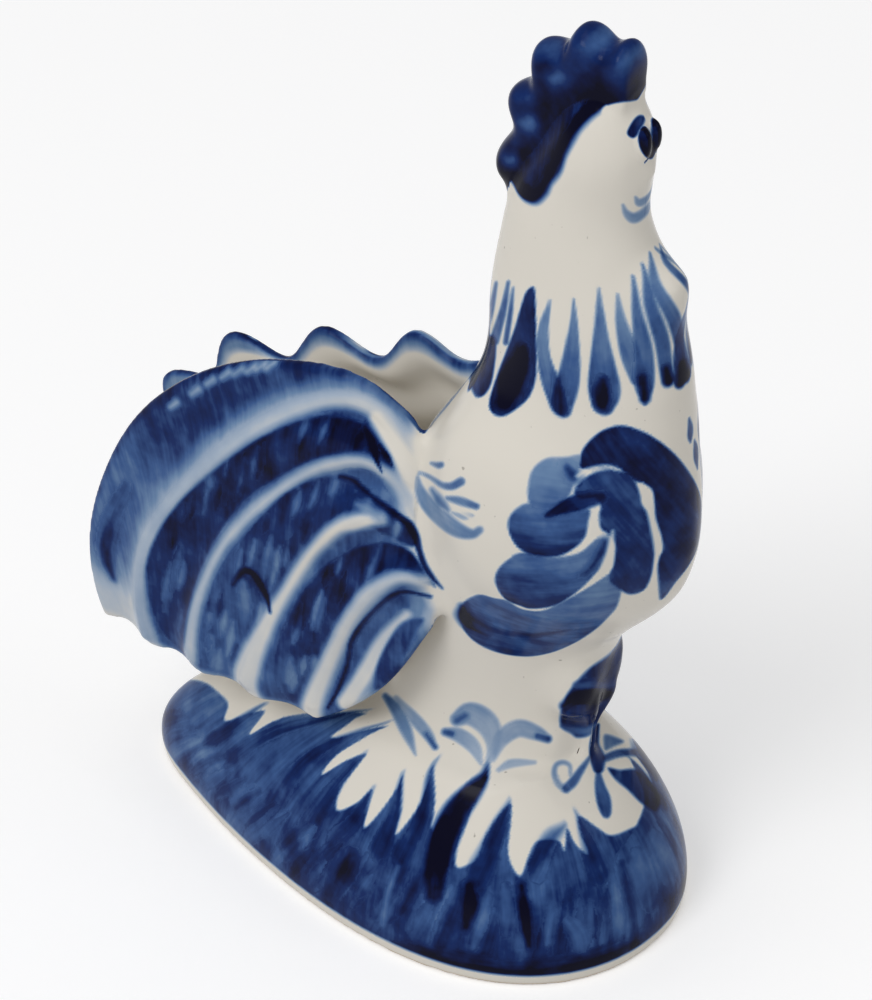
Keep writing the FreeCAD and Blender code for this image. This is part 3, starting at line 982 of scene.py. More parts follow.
@dataclass
class PhotoMarks:
    """Marks laid where the photograph shows them: face, leg, foot, flower, stems, tail folds with a painted highlight,
    tail curls and dark grass.
    """

    sight: Sight

    HEAD = Enlargement(6.0, 600, 90)
    NECK = Enlargement(2.3, 470, 10)
    LEG = Enlargement(5.0, 540, 610)
    GROUND = Enlargement(2.6, 150, 640)
    FLANK = Enlargement(2.4, 400, 380)
    TAIL = Enlargement(5.0, 340, 420)

    FACE = ("neck_and_head", *EYES, "beak", "breast_ruff")
    STANCE = ("body_shell", *LEGS, "base_mound")
    REAR = (*FANS, "body_shell", *WINGS)

    NEAR_EYE = Mark(((262, 224), (288, 234), (306, 268), (318, 315), (326, 365), (320, 402), (300, 414), (272, 398),
                     (246, 360), (232, 315), (230, 270), (242, 238)), 1.34, 0.2)
    FAR_EYE = Mark(((308, 176), (338, 164), (368, 200), (382, 260), (378, 320), (360, 366), (338, 372), (326, 345),
                    (318, 285), (312, 230)), 1.3, 0.2)
    WATTLES = (
        Mark(((138, 692, 8), (158, 738, 20), (200, 768, 31), (250, 745, 26), (300, 690, 17), (330, 640, 8)),
             (0.5, 0.62), 0.4),
        Mark(((214, 645, 8), (236, 676, 23), (280, 655, 19), (320, 610, 11), (345, 572, 5)), (0.5, 0.62), 0.35),
    )
    FOREHEAD = Mark(((20, 106), (60, 86), (110, 75), (180, 67), (266, 60), (280, 140), (150, 150), (20, 150)),
                    0.0, 0.3, Lay.OVER)
    BROW_LINE = ((163, 262), (176, 222), (208, 172), (240, 150), (270, 162), (264, 200), (238, 240), (218, 278),
                 (190, 287))
    NEAR_BROW = Mark(BROW_LINE, 1.16, 0.25)
    FAR_BROW = Mark(tuple((x - 105, y + 10) for x, y in BROW_LINE), 1.16, 0.25)
    NAPE = (
        Mark(((60, 628, 4), (48, 690, 7), (25, 770, 9)), (0.75, 0.85), 0.3),
        Mark(((88, 626, 4), (76, 690, 8), (56, 760, 11)), (0.8, 0.9), 0.3),
        Mark(((99, 640, 3), (92, 700, 6), (82, 765, 6)), (0.7, 0.8), 0.3),
        Mark(((60, 760), (52, 845), (36, 882), (15, 890), (3, 868), (0, 835), (14, 785), (38, 750)), 1.16, 0.3),
        Mark(((130, 647), (148, 640), (151, 700), (153, 800), (151, 850), (136, 890), (110, 915), (75, 935), (50, 925),
              (45, 895), (70, 820), (100, 740), (118, 680)), 1.04, 0.25),
        Mark(((120, 780, 14), (102, 840, 32), (80, 900, 22)), 1.32, 0.9),
    )
    THIGH = (
        Mark(((395, 185), (330, 235), (250, 290), (190, 350), (130, 430), (105, 500), (100, 560), (118, 592),
              (150, 605), (180, 635), (230, 632), (265, 610), (290, 580), (340, 510), (390, 430), (430, 340),
              (430, 230)),
             1.14, 0.45, Lay.OVER),
        Mark(((180, 375, 12), (260, 372, 26), (330, 382, 24), (390, 360, 14)), 0.97, 0.7, Lay.OVER),
        Mark(((120, 480, 20), (180, 440, 30), (260, 430, 32), (340, 420, 22)), 1.22, 0.7),
        Mark(((110, 580, 8), (160, 600, 16), (230, 605, 20), (280, 575, 10)), 0.84, 0.5, Lay.OVER),
    )
    FOOT = (
        Mark(((290, 575, 8), (278, 620, 18), (272, 680, 26), (288, 740, 38), (292, 790, 28)), 1.08, 0.3),
        Mark(((290, 810, 12), (300, 880, 26), (318, 950, 36), (330, 1010, 26), (336, 1036, 5)), (0.82, 0.98), 0.3),
        Mark(((250, 735, 8), (205, 800, 17), (165, 860, 23), (130, 893, 22)), (0.8, 0.86), 0.35),
        Mark(((130, 895, 18), (95, 872, 16), (72, 822, 14), (80, 777, 12), (115, 762, 12), (148, 778, 10),
              (153, 825, 8)), 0.5, 0.4),
        Mark(((340, 790), (400, 800), (470, 795), (530, 830), (580, 890), (605, 950), (588, 1008), (562, 1005),
              (500, 960), (440, 900), (380, 850)), 1.12, 0.35),
        Mark(((330, 740, 18), (380, 720, 20), (440, 712, 18), (500, 715, 24), (540, 750, 34), (575, 810, 24),
              (583, 850, 8)), 0.95, 0.35),
        Mark(((325, 622), (400, 645), (418, 660), (370, 682), (330, 702), (320, 680)), 0.7, 0.4),
    )
    STEMS = (
        Mark(((612, 146, 8), (638, 178, 15), (666, 235, 16), (690, 298, 3)), (0.7, 0.44), 0.4),
        Mark(((640, 152, 8), (688, 205, 15), (722, 245, 14), (742, 281, 5)), (0.42, 0.56), 0.4),
        Mark(((718, 245, 7), (741, 278, 7)), 0.85, 0.5),
        Mark(((875, 328, 4), (892, 272, 18), (878, 220, 31), (834, 192, 30), (798, 206, 18)), (0.34, 0.5), 0.45),
        Mark(((818, 196, 12), (798, 208, 13)), 0.75, 0.7),
        Mark(((862, 324, 4), (842, 278, 18), (804, 248, 19), (768, 239, 11)), (0.34, 0.5), 0.4),
        Mark(((785, 243, 10), (767, 239, 9)), 0.82, 0.5),
        Mark(((893, 314, 4), (914, 258, 20), (956, 230, 23), (1000, 240, 20), (1034, 255, 10)), (0.36, 0.52), 0.45),
        Mark(((1008, 250, 10), (1034, 257, 10)), 0.82, 0.5),
        Mark(((906, 338, 6), (940, 321, 12), (1000, 318, 6)), (0.34, 0.3), 0.4),
    )
    DARK_GRASS = (
        Mark(((872, 358, 6), (830, 400, 24), (785, 465, 36), (750, 560, 34), (738, 660, 22)), (1.2, 1.04), 0.7),
        Mark(((828, 640, 16), (832, 690, 24), (822, 745, 14)), 1.32, 1.0),
        Mark(((965, 640, 12), (975, 710, 20), (985, 795, 12)), 1.3, 1.0),
        Mark(((640, 800, 10), (800, 845, 30), (950, 862, 22), (1130, 840, 26), (1260, 790, 10)), 1.16, 1.6),
        Mark(((1090, 735, 10), (1115, 770, 24), (1120, 800, 10)), 0.74, 1.4, Lay.OVER),
        Mark(((925, 640, 8), (930, 700, 18), (925, 760, 8)), 0.86, 1.2, Lay.OVER),
        Mark(((1270, 560, 16), (1290, 620, 26), (1300, 690, 12)), 0.76, 1.6, Lay.OVER),
        Mark(((520, 560, 20), (500, 600, 30), (470, 660, 12)), 1.08, 1.6),
        Mark(((645, 590, 3), (618, 660, 8), (605, 740, 3)), 0.62, 0.7, Lay.OVER),
    )
    WING_ROOT = Mark(((352, 326, 7), (400, 303, 19), (445, 289, 21), (482, 282, 14)), 1.02, 0.45)
    TAIL_FOLDS_AND_HIGHLIGHT = (
        Mark(((180, -10, 30), (240, 80, 38), (300, 170, 44), (350, 260, 48), (385, 340, 34)), 0.04, 0.7, Lay.OVER),
        Mark(((250, 310, 26), (300, 360, 40), (320, 410, 16)), 0.2, 1.0),
        Mark(((130, 50, 8), (160, 110, 17), (180, 190, 13), (210, 262, 3)), 1.3, 0.4),
        Mark(((205, 125, 6), (240, 185, 13), (266, 242, 5)), 1.15, 0.4),
        Mark(((0, 285, 14), (60, 300, 16), (110, 340, 14), (180, 400, 14), (250, 450, 18), (310, 495, 20),
              (350, 530, 22), (380, 590, 20), (396, 650, 15), (420, 720, 15), (460, 785, 13), (512, 842, 4)),
              (1.16, 1.1), 0.35),
        Mark(((90, 420, 14), (150, 450, 24), (200, 500, 12)), 0.5, 1.2, Lay.OVER),
        # painted highlight: a pale patch in the second dark band
        Mark(((20, 532, 14), (80, 515, 26), (140, 490, 10)), 0.1, 0.7, Lay.OVER),
    )
    TAIL_CURLS = (
        Mark(((455, 216, 6), (490, 226, 15), (506, 224, 14)), 0.66, 0.35),
        Mark(((398, 262, 6), (450, 285, 10), (510, 325, 15), (560, 330, 19), (604, 308, 21)), (0.5, 0.78), 0.35),
        Mark(((388, 285, 8), (400, 350, 24), (440, 420, 38), (520, 500, 42), (590, 550, 38), (660, 570, 24),
              (698, 550, 19)), (0.46, 0.6), 0.4),
        Mark(((535, 390, 10), (600, 405, 21), (682, 432, 15)), (0.55, 0.78), 0.35),
        Mark(((560, 462, 6), (620, 480, 18), (660, 480, 8)), 0.5, 0.4),
        Mark(((520, 440, 8), (590, 455, 9), (680, 505, 8)), 0.04, 0.4, Lay.OVER),
        Mark(((460, 350, 8), (500, 410, 22), (540, 450, 6)), 0.86, 0.8),
    )

    SETS = (                # in the order in which they are laid
        MarkSet(FACE, HEAD, (NEAR_EYE, *WATTLES)),
        MarkSet(FACE, HEAD, (FAR_EYE,), over=8.0),
        MarkSet(("neck_and_head", "comb", "beak"), HEAD, (FOREHEAD,)),
        MarkSet(FACE, HEAD, (NEAR_BROW,), (Side.RIGHT,)),
        MarkSet(FACE, HEAD, (FAR_BROW,), (Side.LEFT,)),
        MarkSet(("neck_and_head", "body_shell", *WINGS), NECK, NAPE),
        MarkSet(STANCE, LEG, THIGH, (Side.LEFT,)),
        MarkSet(STANCE, LEG, THIGH, (Side.RIGHT,), 6.0),
        MarkSet(STANCE, LEG, FOOT, (Side.RIGHT,), 40.0),
        MarkSet(("body_shell", "base_mound"), GROUND, STEMS),
        MarkSet(("base_mound",), GROUND, DARK_GRASS, over=40.0),
        MarkSet(("body_shell", *WINGS), FLANK, (WING_ROOT,)),
        MarkSet(REAR, TAIL, TAIL_FOLDS_AND_HIGHLIGHT),
        MarkSet(REAR, TAIL, TAIL_CURLS),
    )

    def ready(self, group: MarkSet) -> list[Stroke | Wash]:
        """Turn measured marks into strokes.

        Args:
            group: Marks that were measured on one enlargement.

        Returns:
            Strokes and washes on the picture's chart.
        """
        work: list[Stroke | Wash] = []
        for mark in group.marks:
            moved = self.sight.view.on(*group.part.pixels(mark.points))
            if len(mark.points[0]) == 2:
                work.append(Wash(moved, mark.tone, mark.edge, mark.lay))
            else:
                tone = mark.tone if isinstance(mark.tone, tuple) else (mark.tone, mark.tone)
                work.append(Stroke(moved, tone, mark.edge, mark.lay))
        return work

    def dress(self) -> None:
        """Lay the marks."""
        for group in self.SETS:
            self.sight.paint(group.members, self.ready(group), group.sides, group.over)


@dataclass
class HeadComb:
    """Lobed comb, mottled blue and darkest along its root."""

    node: str = "comb"
    hub: tuple[float, float] = (37.0, 144.0)
    lobes: tuple[float, ...] = (84.0, 108.0, 131.0, 162.0, 196.0)
    lump: float = 0.14

    DABS = (
        (39.2, 162.5, 0.9, 0.81), (34.1, 163.6, 1.2, 0.79), (32.6, 161.2, 0.9, 0.93), (28.3, 157.0, 1.3, 0.77),
        (26.7, 159.5, 0.8, 0.87), (23.6, 147.8, 1.3, 0.79), (22.8, 151.5, 0.7, 0.87), (20.8, 140.6, 0.9, 0.81),
        (37.8, 160.3, 0.8, 0.95), (25.9, 158.0, 0.7, 1.23), (22.2, 149.9, 0.6, 1.21), (21.3, 144.1, 0.8, 1.21),
        (30.5, 159.6, 0.7, 1.17), (36.4, 162.6, 0.6, 1.21),
    )

    MOTTLE = (0.0, 0.0, 23.0)               # one place in the brush's hairs for the whole comb
    LOBE_HALF, LOBE_REACH, LOBE_DEPTH = 3.2, 18, 3.0
    ROOT_TONE, TIP_PALER = 1.34, 0.28
    ROOT_BAND, ROOT_FADE = 0.8, 6.5
    TONGUE_LEVEL, TONGUE_FADE, TONGUE_X = 155.3, 0.8, 36.0      # bare tongue in front, under the first lobe

    def raise_lobes(self, skin: Skin) -> None:
        """Round the cheeks of the lobes.

        Args:
            skin: Skin to raise.
        """
        rows = skin.rows(self.node)
        x, z = skin.place[rows, 0] - self.hub[0], skin.place[rows, 2] - self.hub[1]
        turn, reach = np.degrees(np.arctan2(z, x)) % 360, np.hypot(x, z)
        gap = np.min([np.abs(turn - at) for at in self.lobes], axis=0) * math.pi / 180 * reach
        lift = np.exp(-(gap / self.LOBE_HALF) ** 2) * np.exp(-((reach - self.LOBE_REACH) / self.LOBE_DEPTH) ** 2)
        sides = np.abs(skin.normal[rows, 1])
        skin.place[rows] += skin.normal[rows] * (self.lump * lift * sides)[:, None]

    def dress(self, skin: Skin) -> None:
        """Paint the comb.

        Args:
            skin: Skin to paint.
        """
        rows = skin.rows(self.node)
        root = skin.gap_from(rows, "neck_and_head")
        skin.cobalt[rows] = self.ROOT_TONE - self.TIP_PALER * smooth_step((root - self.ROOT_BAND) / self.ROOT_FADE)
        canvas = Canvas(skin, rows, skin.place[rows][:, [0, 2]])
        for x, z, half, tone in self.DABS:
            path = ((x - 0.4, z - 0.3, half), (x + 0.4, z + 0.3, half))
            canvas.pull(Stroke(path, (tone, tone), 1.7, lay=Lay.OVER))
        skin.brush[rows] = self.MOTTLE
        low = smooth_step((self.TONGUE_LEVEL - skin.place[rows, 2]) / self.TONGUE_FADE)
        tongue = low * (skin.place[rows, 0] > self.TONGUE_X)
        skin.cobalt[rows] *= 1.0 - tongue


@dataclass
class GrassMound:
    """Oval mound painted as a tuft of grass, with the bird's toes on its crown."""

    node: str = "base_mound"
    crown: float = 18.0
    foot: float = 2.0
    streaks: int = 110
    seed: int = 7

    BLADES = (
        (((-37.6, -10.7, 4.8, 1.6), (-29.3, -10.6, 16, 1.6), (-22.8, -8.5, 23.1, 0.3)), 0.95),
        (((-28.8, -14, 9.2, 2.0), (-18.1, -12, 21.7, 1.7), (-3.4, -9.8, 30.9, 0.3)), 1.0),
        (((-13.8, -18.8, 13.4, 2.2), (-8, -14.6, 23.6, 1.4), (2.8, -10.4, 31.5, 0.2)), 0.85),
        (((-5.2, -21.3, 14.1, 2.6), (-2.1, -18.2, 21.5, 1.5), (1.4, -14.7, 27.6, 0.2)), 0.7),
        (((0.9, -22.8, 14.7, 2.2), (3.7, -21.1, 19.6, 1.4), (5.2, -18.2, 24.4, 0.2)), 0.74),
        (((9.6, -23.4, 17.3, 2.0), (10.5, -20.3, 23, 1.3), (9.6, -16.4, 28.1, 0.2)), 0.72),
        (((14, -23.5, 18, 2.0), (15.4, -19.3, 25.2, 1.3), (14, -14.6, 30.9, 0.3)), 0.8),
        (((20.3, -24.1, 16.5, 2.2), (20.4, -19.8, 24.5, 2.1), (23.5, -14.1, 31.2, 1.0)), 1.05),
        (((27.5, -21.7, 19.5, 2.4), (28.2, -17.8, 25.1, 1.5), (28.4, -14.4, 29, 0.2)), 0.86),
        (((35.6, -17.5, 20.1, 1.8), (35.9, -14.4, 23.6, 1.3), (37.1, -11.1, 25.4, 0.2)), 0.78),
        (((43, -10.5, 18.3, 2.2), (40.1, -9.6, 22.9, 1.3), (37.8, -8.6, 26.4, 0.2)), 0.74),
    )
    GRASS = (
        (44.0, 8.0, 17.0), (43.7, 0.6, 20.2), (42.1, -5.2, 21.6), (40.3, -6.6, 23.3), (37.7, -8.3, 26.0),
        (38.7, -9.7, 23.9), (40.7, -10.3, 20.9), (38.8, -11.2, 22.6), (37.0, -10.9, 24.9), (37.8, -13.0, 22.2),
        (36.6, -12.9, 23.7), (34.1, -15.0, 24.0), (33.6, -16.9, 22.1), (33.4, -19.0, 19.3), (31.9, -19.2, 20.5),
        (30.4, -18.1, 22.9), (29.6, -15.9, 26.6), (28.5, -14.2, 28.9), (27.4, -16.3, 27.2), (26.5, -18.8, 24.2),
        (26.1, -21.1, 20.9), (23.7, -22.5, 19.1), (22.9, -21.2, 21.8), (23.3, -17.8, 26.8), (23.9, -14.4, 30.7),
        (23.1, -13.9, 31.4), (20.9, -15.3, 30.3), (20.0, -17.7, 27.6), (18.7, -19.8, 24.6), (17.8, -20.8, 23.1),
        (17.0, -18.7, 26.3), (15.7, -16.5, 29.0), (14.0, -14.8, 30.8), (14.5, -16.8, 28.6), (14.3, -19.1, 25.4),
        (13.0, -21.1, 22.1), (11.7, -22.1, 20.3), (11.5, -19.8, 23.9), (9.8, -16.5, 28.0), (9.3, -18.3, 25.8),
        (8.0, -20.2, 22.5), (5.7, -22.0, 18.8), (5.4, -20.3, 21.5), (5.1, -18.3, 24.4), (3.0, -19.8, 21.5),
        (-0.5, -20.5, 18.7), (-0.9, -18.6, 21.5), (0.3, -16.8, 24.8), (1.7, -14.8, 27.7), (-1.9, -15.8, 25.2),
        (-5.6, -17.1, 21.6), (-3.9, -15.1, 25.1), (0.1, -13.1, 29.0), (3.3, -10.8, 31.3), (-0.5, -12.2, 29.8),
        (-6.3, -13.2, 26.4), (-3.9, -11.5, 29.3), (-2.5, -9.9, 31.0), (-10.0, -10.2, 28.0), (-17.8, -10.5, 23.8),
        (-23.5, -11.8, 18.6), (-22.5, -10.4, 21.0), (-22.2, -9.3, 22.6), (-26.1, -9.3, 20.0), (-30.4, -9.4, 17.0),
        (-31.1, -7.3, 19.3), (-37.8, -3.6, 17.9), (-45.0, -0.3, 14.0),
    )
    CROWNS = ((-10.0, 15.0), (5.0, 18.0), (20.0, 16.5), (60.0, 15.5), (85.0, 13.0), (130.0, 11.0))
    STREAK_TONES = (1.2, 1.12, 1.04, 0.88, 0.76)
    FOOT_LEVELS = (2, 9)
    SKIRT_LEVEL = 33.5      # level up to which blades may cross on to the skirt
    STEP = 3.0              # degrees between two measures of the foot

    def __post_init__(self) -> None:
        """Measure the outline of the foot."""
        co = np.array([v.co for v in frame["nodes"][self.node].data.vertices]) / MM
        low = co[(co[:, 2] > self.FOOT_LEVELS[0]) & (co[:, 2] < self.FOOT_LEVELS[1])]
        x, y = low[:, 0] - ROW_SHIFT - self.crown, -low[:, 1]
        turn, reach = np.degrees(np.arctan2(y, x)), np.hypot(x, y)
        self.turns = np.arange(-180.0, 181.0, self.STEP)
        rim = np.zeros(len(self.turns))
        np.maximum.at(rim, np.round((turn + 180) / self.STEP).astype(int), reach)
        filled = np.flatnonzero(rim > 0)
        rim = np.interp(np.arange(len(rim)), filled, rim[filled])
        rim[0] = rim[-1] = max(rim[0], rim[-1])
        plan = np.column_stack((rim * np.cos(np.radians(self.turns)), rim * np.sin(np.radians(self.turns))))
        self.arc = np.concatenate(((0,), np.cumsum(np.hypot(*np.diff(plan, axis=0).T))))
        self.arc -= np.interp(0.0, self.turns, self.arc)

    def chart(self, place: np.ndarray) -> np.ndarray:
        """Unroll places on the skin into millimetres round the foot from the front, and levels."""
        turn = np.degrees(np.arctan2(-place[:, 1], place[:, 0] - self.crown))
        return np.column_stack((np.interp(turn, self.turns, self.arc), place[:, 2]))

    def on(self, points: Points) -> Points:
        """Turn places on the mound into places on its chart.

        Args:
            points: Places, each with a half width where the stroke needs one.

        Returns:
            Places on the chart, with the half widths.
        """
        rows = np.array(points, float)
        flat = self.chart(rows[:, :3])
        return tuple(tuple(row) for row in np.column_stack((flat, rows[:, 3:])))

    def dress(self, skin: Skin) -> None:
        """Paint the grass.

        Args:
            skin: Skin to paint.
        """
        rows = skin.rows(self.node)
        skirt = skin.rows("body_shell")
        around = np.concatenate((rows, skirt[skin.place[skirt, 2] < self.SKIRT_LEVEL]))
        canvas = Canvas(skin, around, self.chart(skin.place[around]))
        grass = self.on(self.GRASS)
        rear = float(self.arc[-1])
        work: list[Stroke | Wash] = [
            Wash((*grass, (rear, grass[-1][1]), (rear, self.foot), (-10.0, self.foot)), 1.1, 0.3, rise=-0.3)]
        for blade, tone in self.BLADES:
            work.append(Stroke(self.on(blade), (0.8 * tone, tone), 1.0))
        dice = np.random.default_rng(self.seed)
        tops = np.array(self.CROWNS, float).T
        for _ in range(self.streaks):
            at = dice.uniform(-6, rear)
            low = dice.uniform(1.5, 9.0)
            high = min(low + dice.uniform(4, 13), float(np.interp(at, *tops)))
            lean = -(0.1 + 0.6 * at / rear) * (high - low)
            tone = dice.choice(self.STREAK_TONES)
            path = ((at, low, 0.3), (at + lean / 2, (low + high) / 2, dice.uniform(0.5, 1.2)), (at + lean, high, 0.1))
            work.append(Stroke(path, (tone, tone - 0.04), 1.6, lay=Lay.OVER))
        canvas.paint(work)
        skin.cobalt[around] *= 1.0 - 0.14 * smooth_step((5.0 - skin.place[around, 0]) / 35.0)

    def bare_foot(self, skin: Skin) -> None:
        """Wipe the foot clean of colour and leave its edge without glaze.

        Args:
            skin: Skin to wipe.
        """
        rows = skin.rows(self.node)
        skin.cobalt[rows] *= smooth_step((skin.place[rows, 2] - self.foot) / 0.7)
        skin.bare[rows] = smooth_step((0.75 - skin.place[rows, 2]) / 0.5)


@dataclass
class PorcelainSkin:
    """One continuous glazed skin over all the members, parted again into one piece for each member."""

    voxel: float = 0.415
    quick_voxel: float = 0.8
    smoothing: int = 12
    vent_x: float = 0.1
    vent_radius: float = 3.4
    plug_depth: float = 3.0
    plug_level: float = 3.5
    filler_halves: tuple[float, float, float] = (5.2, 3.0, 9.6)
    filler_x: float = 32.3
    filler_level: float = 50.5
    lip: float = 0.5

    FINE = (((35, -12, 130), (48, 12, 157)), ((25, -12, 31), (42, 12, 63)))      # where small marks need a finer net
    EASING = (              # members whose joints are eased, steps, rounds, and members that keep their shape
        (WINGS, 40, 900, (*LEGS, *EYES, *FANS)),
        (("breast_ruff", "base_mound"), 22, 260, (*LEGS, *EYES, *FANS)),
        (("body_shell", "comb", "beak"), 10, 80, (*LEGS, *EYES)),
        (("beak",), 26, 500, EYES),
        (LEGS, 22, 320, ()),
        (EYES, 6, 16, ()),
    )
    EASE_SHARE = 0.5        # share of the way to its neighbours' middle that a point moves in one round
    CHEEK_ROUNDS = 90       # rounds in which the comb's cheeks are filled
    CHEEK_FACING = 0.3      # how far sideways a place on a cheek looks, at least
    VOTE_ROUNDS = 4         # rounds in which the borders between members are evened out
    OWN_VOTE = 0.9          # weight of a point's own member against each neighbour's

    def gather(self) -> list[bpy.types.Object]:
        """Copy the members, and add a plug for the vent and a filler between the thighs.

        Returns:
            The copies, the plug and the filler.
        """
        bpy.ops.object.select_all(action="DESELECT")
        copies = []
        for node in frame["nodes"].values():
            copy = node.copy()
            copy.data = node.data.copy()
            for key in list(copy.keys()):
                del copy[key]
            copy.parent = None
            bpy.context.scene.collection.objects.link(copy)
            copies.append(copy)
        bpy.ops.mesh.primitive_cylinder_add(
            vertices=48, radius=self.vent_radius * MM, depth=self.plug_depth * MM,
            location=((self.vent_x + ROW_SHIFT) * MM, 0, self.plug_level * MM))
        copies.append(bpy.context.object)
        bpy.ops.mesh.primitive_uv_sphere_add(segments=32, ring_count=20, radius=1.0)
        filler = bpy.context.object
        filler.scale = [half * MM for half in self.filler_halves]
        filler.location = ((self.filler_x + ROW_SHIFT) * MM, 0, self.filler_level * MM)
        copies.append(filler)
        return copies

    def cast(self) -> bpy.types.Object:
        """Join copies of the members and let the glaze round every edge and hollow.

        Returns:
            The joined skin.
        """
        copies = self.gather()
        for copy in copies:
            copy.select_set(True)
        bpy.context.view_layer.objects.active = copies[0]
        bpy.ops.object.join()
        cast = bpy.context.object
        cast.name = "porcelain_skin"
        bpy.ops.object.transform_apply(location=True, rotation=True, scale=True)
        bpy.ops.object.mode_set(mode="EDIT")
        bpy.ops.mesh.select_all(action="SELECT")
        bpy.ops.mesh.remove_doubles(threshold=1e-6)
        bpy.ops.object.mode_set(mode="OBJECT")
        remesh = cast.modifiers.new("clay", "REMESH")
        remesh.mode = "VOXEL"
        remesh.voxel_size = self.voxel * MM
        bpy.ops.object.modifier_apply(modifier=remesh.name)
        soften = cast.modifiers.new("glaze", "SMOOTH")
        soften.factor = 0.5
        soften.iterations = self.smoothing
        bpy.ops.object.modifier_apply(modifier=soften.name)
        cast.data.materials.clear()
        cast = self.outermost()
        self.refine(cast)
        log.info("skin: %d faces", len(cast.data.polygons))
        return cast

    def refine(self, cast: bpy.types.Object) -> None:
        """Divide the net once more where small marks need it.

        Args:
            cast: The joined skin.
        """
        shape = bmesh.new()
        shape.from_mesh(cast.data)
        for low, high in self.FINE:
            low, high = (Vector(corner) + Vector((ROW_SHIFT, 0, 0)) for corner in (low, high))
            edges = [edge for edge in shape.edges
                     if all(low[i] * MM < edge.verts[0].co[i] < high[i] * MM for i in range(3))]
            bmesh.ops.subdivide_edges(shape, edges=edges, cuts=1, use_grid_fill=True)
        shape.to_mesh(cast.data)
        shape.free()

    @staticmethod
    def separate(kind: str) -> list[bpy.types.Object]:
        """Part the active object.

        Args:
            kind: "LOOSE" for its shells, or "MATERIAL".

        Returns:
            The parts.
        """
        bpy.ops.object.mode_set(mode="EDIT")
        bpy.ops.mesh.select_all(action="SELECT")
        bpy.ops.mesh.separate(type=kind)
        bpy.ops.object.mode_set(mode="OBJECT")
        return list(bpy.context.selected_objects)

    def outermost(self) -> bpy.types.Object:
        """Keep the largest shell of the active object, and drop the closed hollow inside it.

        Returns:
            The outer shell.
        """
        shells = sorted(self.separate("LOOSE"), key=lambda o: len(o.data.vertices))
        log.info("shells: %s", [len(o.data.vertices) for o in shells])
        for shell in shells[:-1]:
            bpy.data.objects.remove(shell)
        shells[-1].name = "porcelain_skin"
        bpy.context.view_layer.objects.active = shells[-1]
        return shells[-1]

    @staticmethod
    def edges_of(cast: bpy.types.Object) -> np.ndarray:
        """Read the ends of the net's edges.

        Args:
            cast: The joined skin.

        Returns:
            Two point numbers to a row.
        """
        ends = np.empty(len(cast.data.edges) * 2, np.int64)
        cast.data.edges.foreach_get("vertices", ends)
        return ends.reshape(-1, 2)

    def members_of(self, cast: bpy.types.Object, places: np.ndarray) -> tuple[np.ndarray, list[str]]:
        """Find the member under each point of the skin.

        Args:
            cast: The joined skin.
            places: Points of the skin, in metres.

        Returns:
            Number of the member for each point, and the members' names.
        """
        names = sorted(frame["nodes"])
        points, faces, owner = [], [], []
        for number, name in enumerate(names):
            mesh = frame["nodes"][name].data
            first = len(points)
            points.extend(v.co[:] for v in mesh.vertices)
            faces.extend([first + i for i in p.vertices] for p in mesh.polygons)
            owner.extend([number] * len(mesh.polygons))
        tree = BVHTree.FromPolygons(points, faces)
        member = np.array([owner[tree.find_nearest(Vector(p))[2]] for p in places])
        ends = self.edges_of(cast)
        for _ in range(self.VOTE_ROUNDS):
            votes = np.zeros((len(places), len(names)), np.float32)
            votes[np.arange(len(places)), member] = self.OWN_VOTE
            np.add.at(votes, (ends[:, 0], member[ends[:, 1]]), 1)
            np.add.at(votes, (ends[:, 1], member[ends[:, 0]]), 1)
            member = votes.argmax(1)
        return member, names

    @staticmethod
    def places_of(cast: bpy.types.Object, kind: str) -> np.ndarray:
        """Read the points or normals of the skin.

        Args:
            cast: The joined skin.
            kind: "co" or "normal".

        Returns:
            One point or normal to a row.
        """
        values = np.empty(len(cast.data.vertices) * 3, np.float32)
        cast.data.vertices.foreach_get(kind, values)
        return values.reshape(-1, 3).astype(float)

    def read(self, cast: bpy.types.Object) -> Skin:
        """Read the skin into rows of numbers.

        Args:
            cast: The joined skin.

        Returns:
            The skin's rows.
        """
        places = self.places_of(cast, "co")
        member, names = self.members_of(cast, places)
        count = len(places)
        return Skin(places / MM - (ROW_SHIFT, 0, 0), self.places_of(cast, "normal"), member, names,
                    np.zeros(count), np.zeros((count, 3)), np.zeros(count))

    def ease_joints(self, cast: bpy.types.Object, skin: Skin, members: tuple[str, ...], reach: int, rounds: int,
                    held: tuple[str, ...]) -> None:
        """Let the slip round the hollows where members are joined.

        Args:
            cast: The joined skin.
            skin: Its rows.
            members: Members whose joints are eased.
            reach: Steps of the net to either side of a joint.
            rounds: Rounds of easing.
            held: Members that keep their shape.
        """
        ends = self.edges_of(cast)
        left, right = skin.member[ends[:, 0]], skin.member[ends[:, 1]]
        eased = [skin.names.index(name) for name in members]
        seam = (left != right) & (np.isin(left, eased) | np.isin(right, eased))
        ease = np.zeros(len(skin.place))
        ease[ends[seam].ravel()] = 1.0
        for _ in range(reach):
            spread = ease.copy()
            np.maximum.at(spread, ends[:, 0], ease[ends[:, 1]] - 1.0 / reach)
            np.maximum.at(spread, ends[:, 1], ease[ends[:, 0]] - 1.0 / reach)
            ease = spread
        share = smooth_step(ease) * self.EASE_SHARE
        share[skin.rows(*held)] = 0.0
        rows = np.flatnonzero(share)
        a, b = np.concatenate((ends[:, 0], ends[:, 1])), np.concatenate((ends[:, 1], ends[:, 0]))
        a, b = a[share[a] > 0], b[share[a] > 0]
        number = np.zeros(len(share), np.int64)
        number[rows] = np.arange(len(rows))
        a = number[a]
        friends = np.bincount(a, minlength=len(rows))
        for _ in range(rounds):
            for axis in range(3):
                line = skin.place[:, axis]
                mean = np.bincount(a, line[b], len(rows)) / friends
                line[rows] += share[rows] * (mean - line[rows])

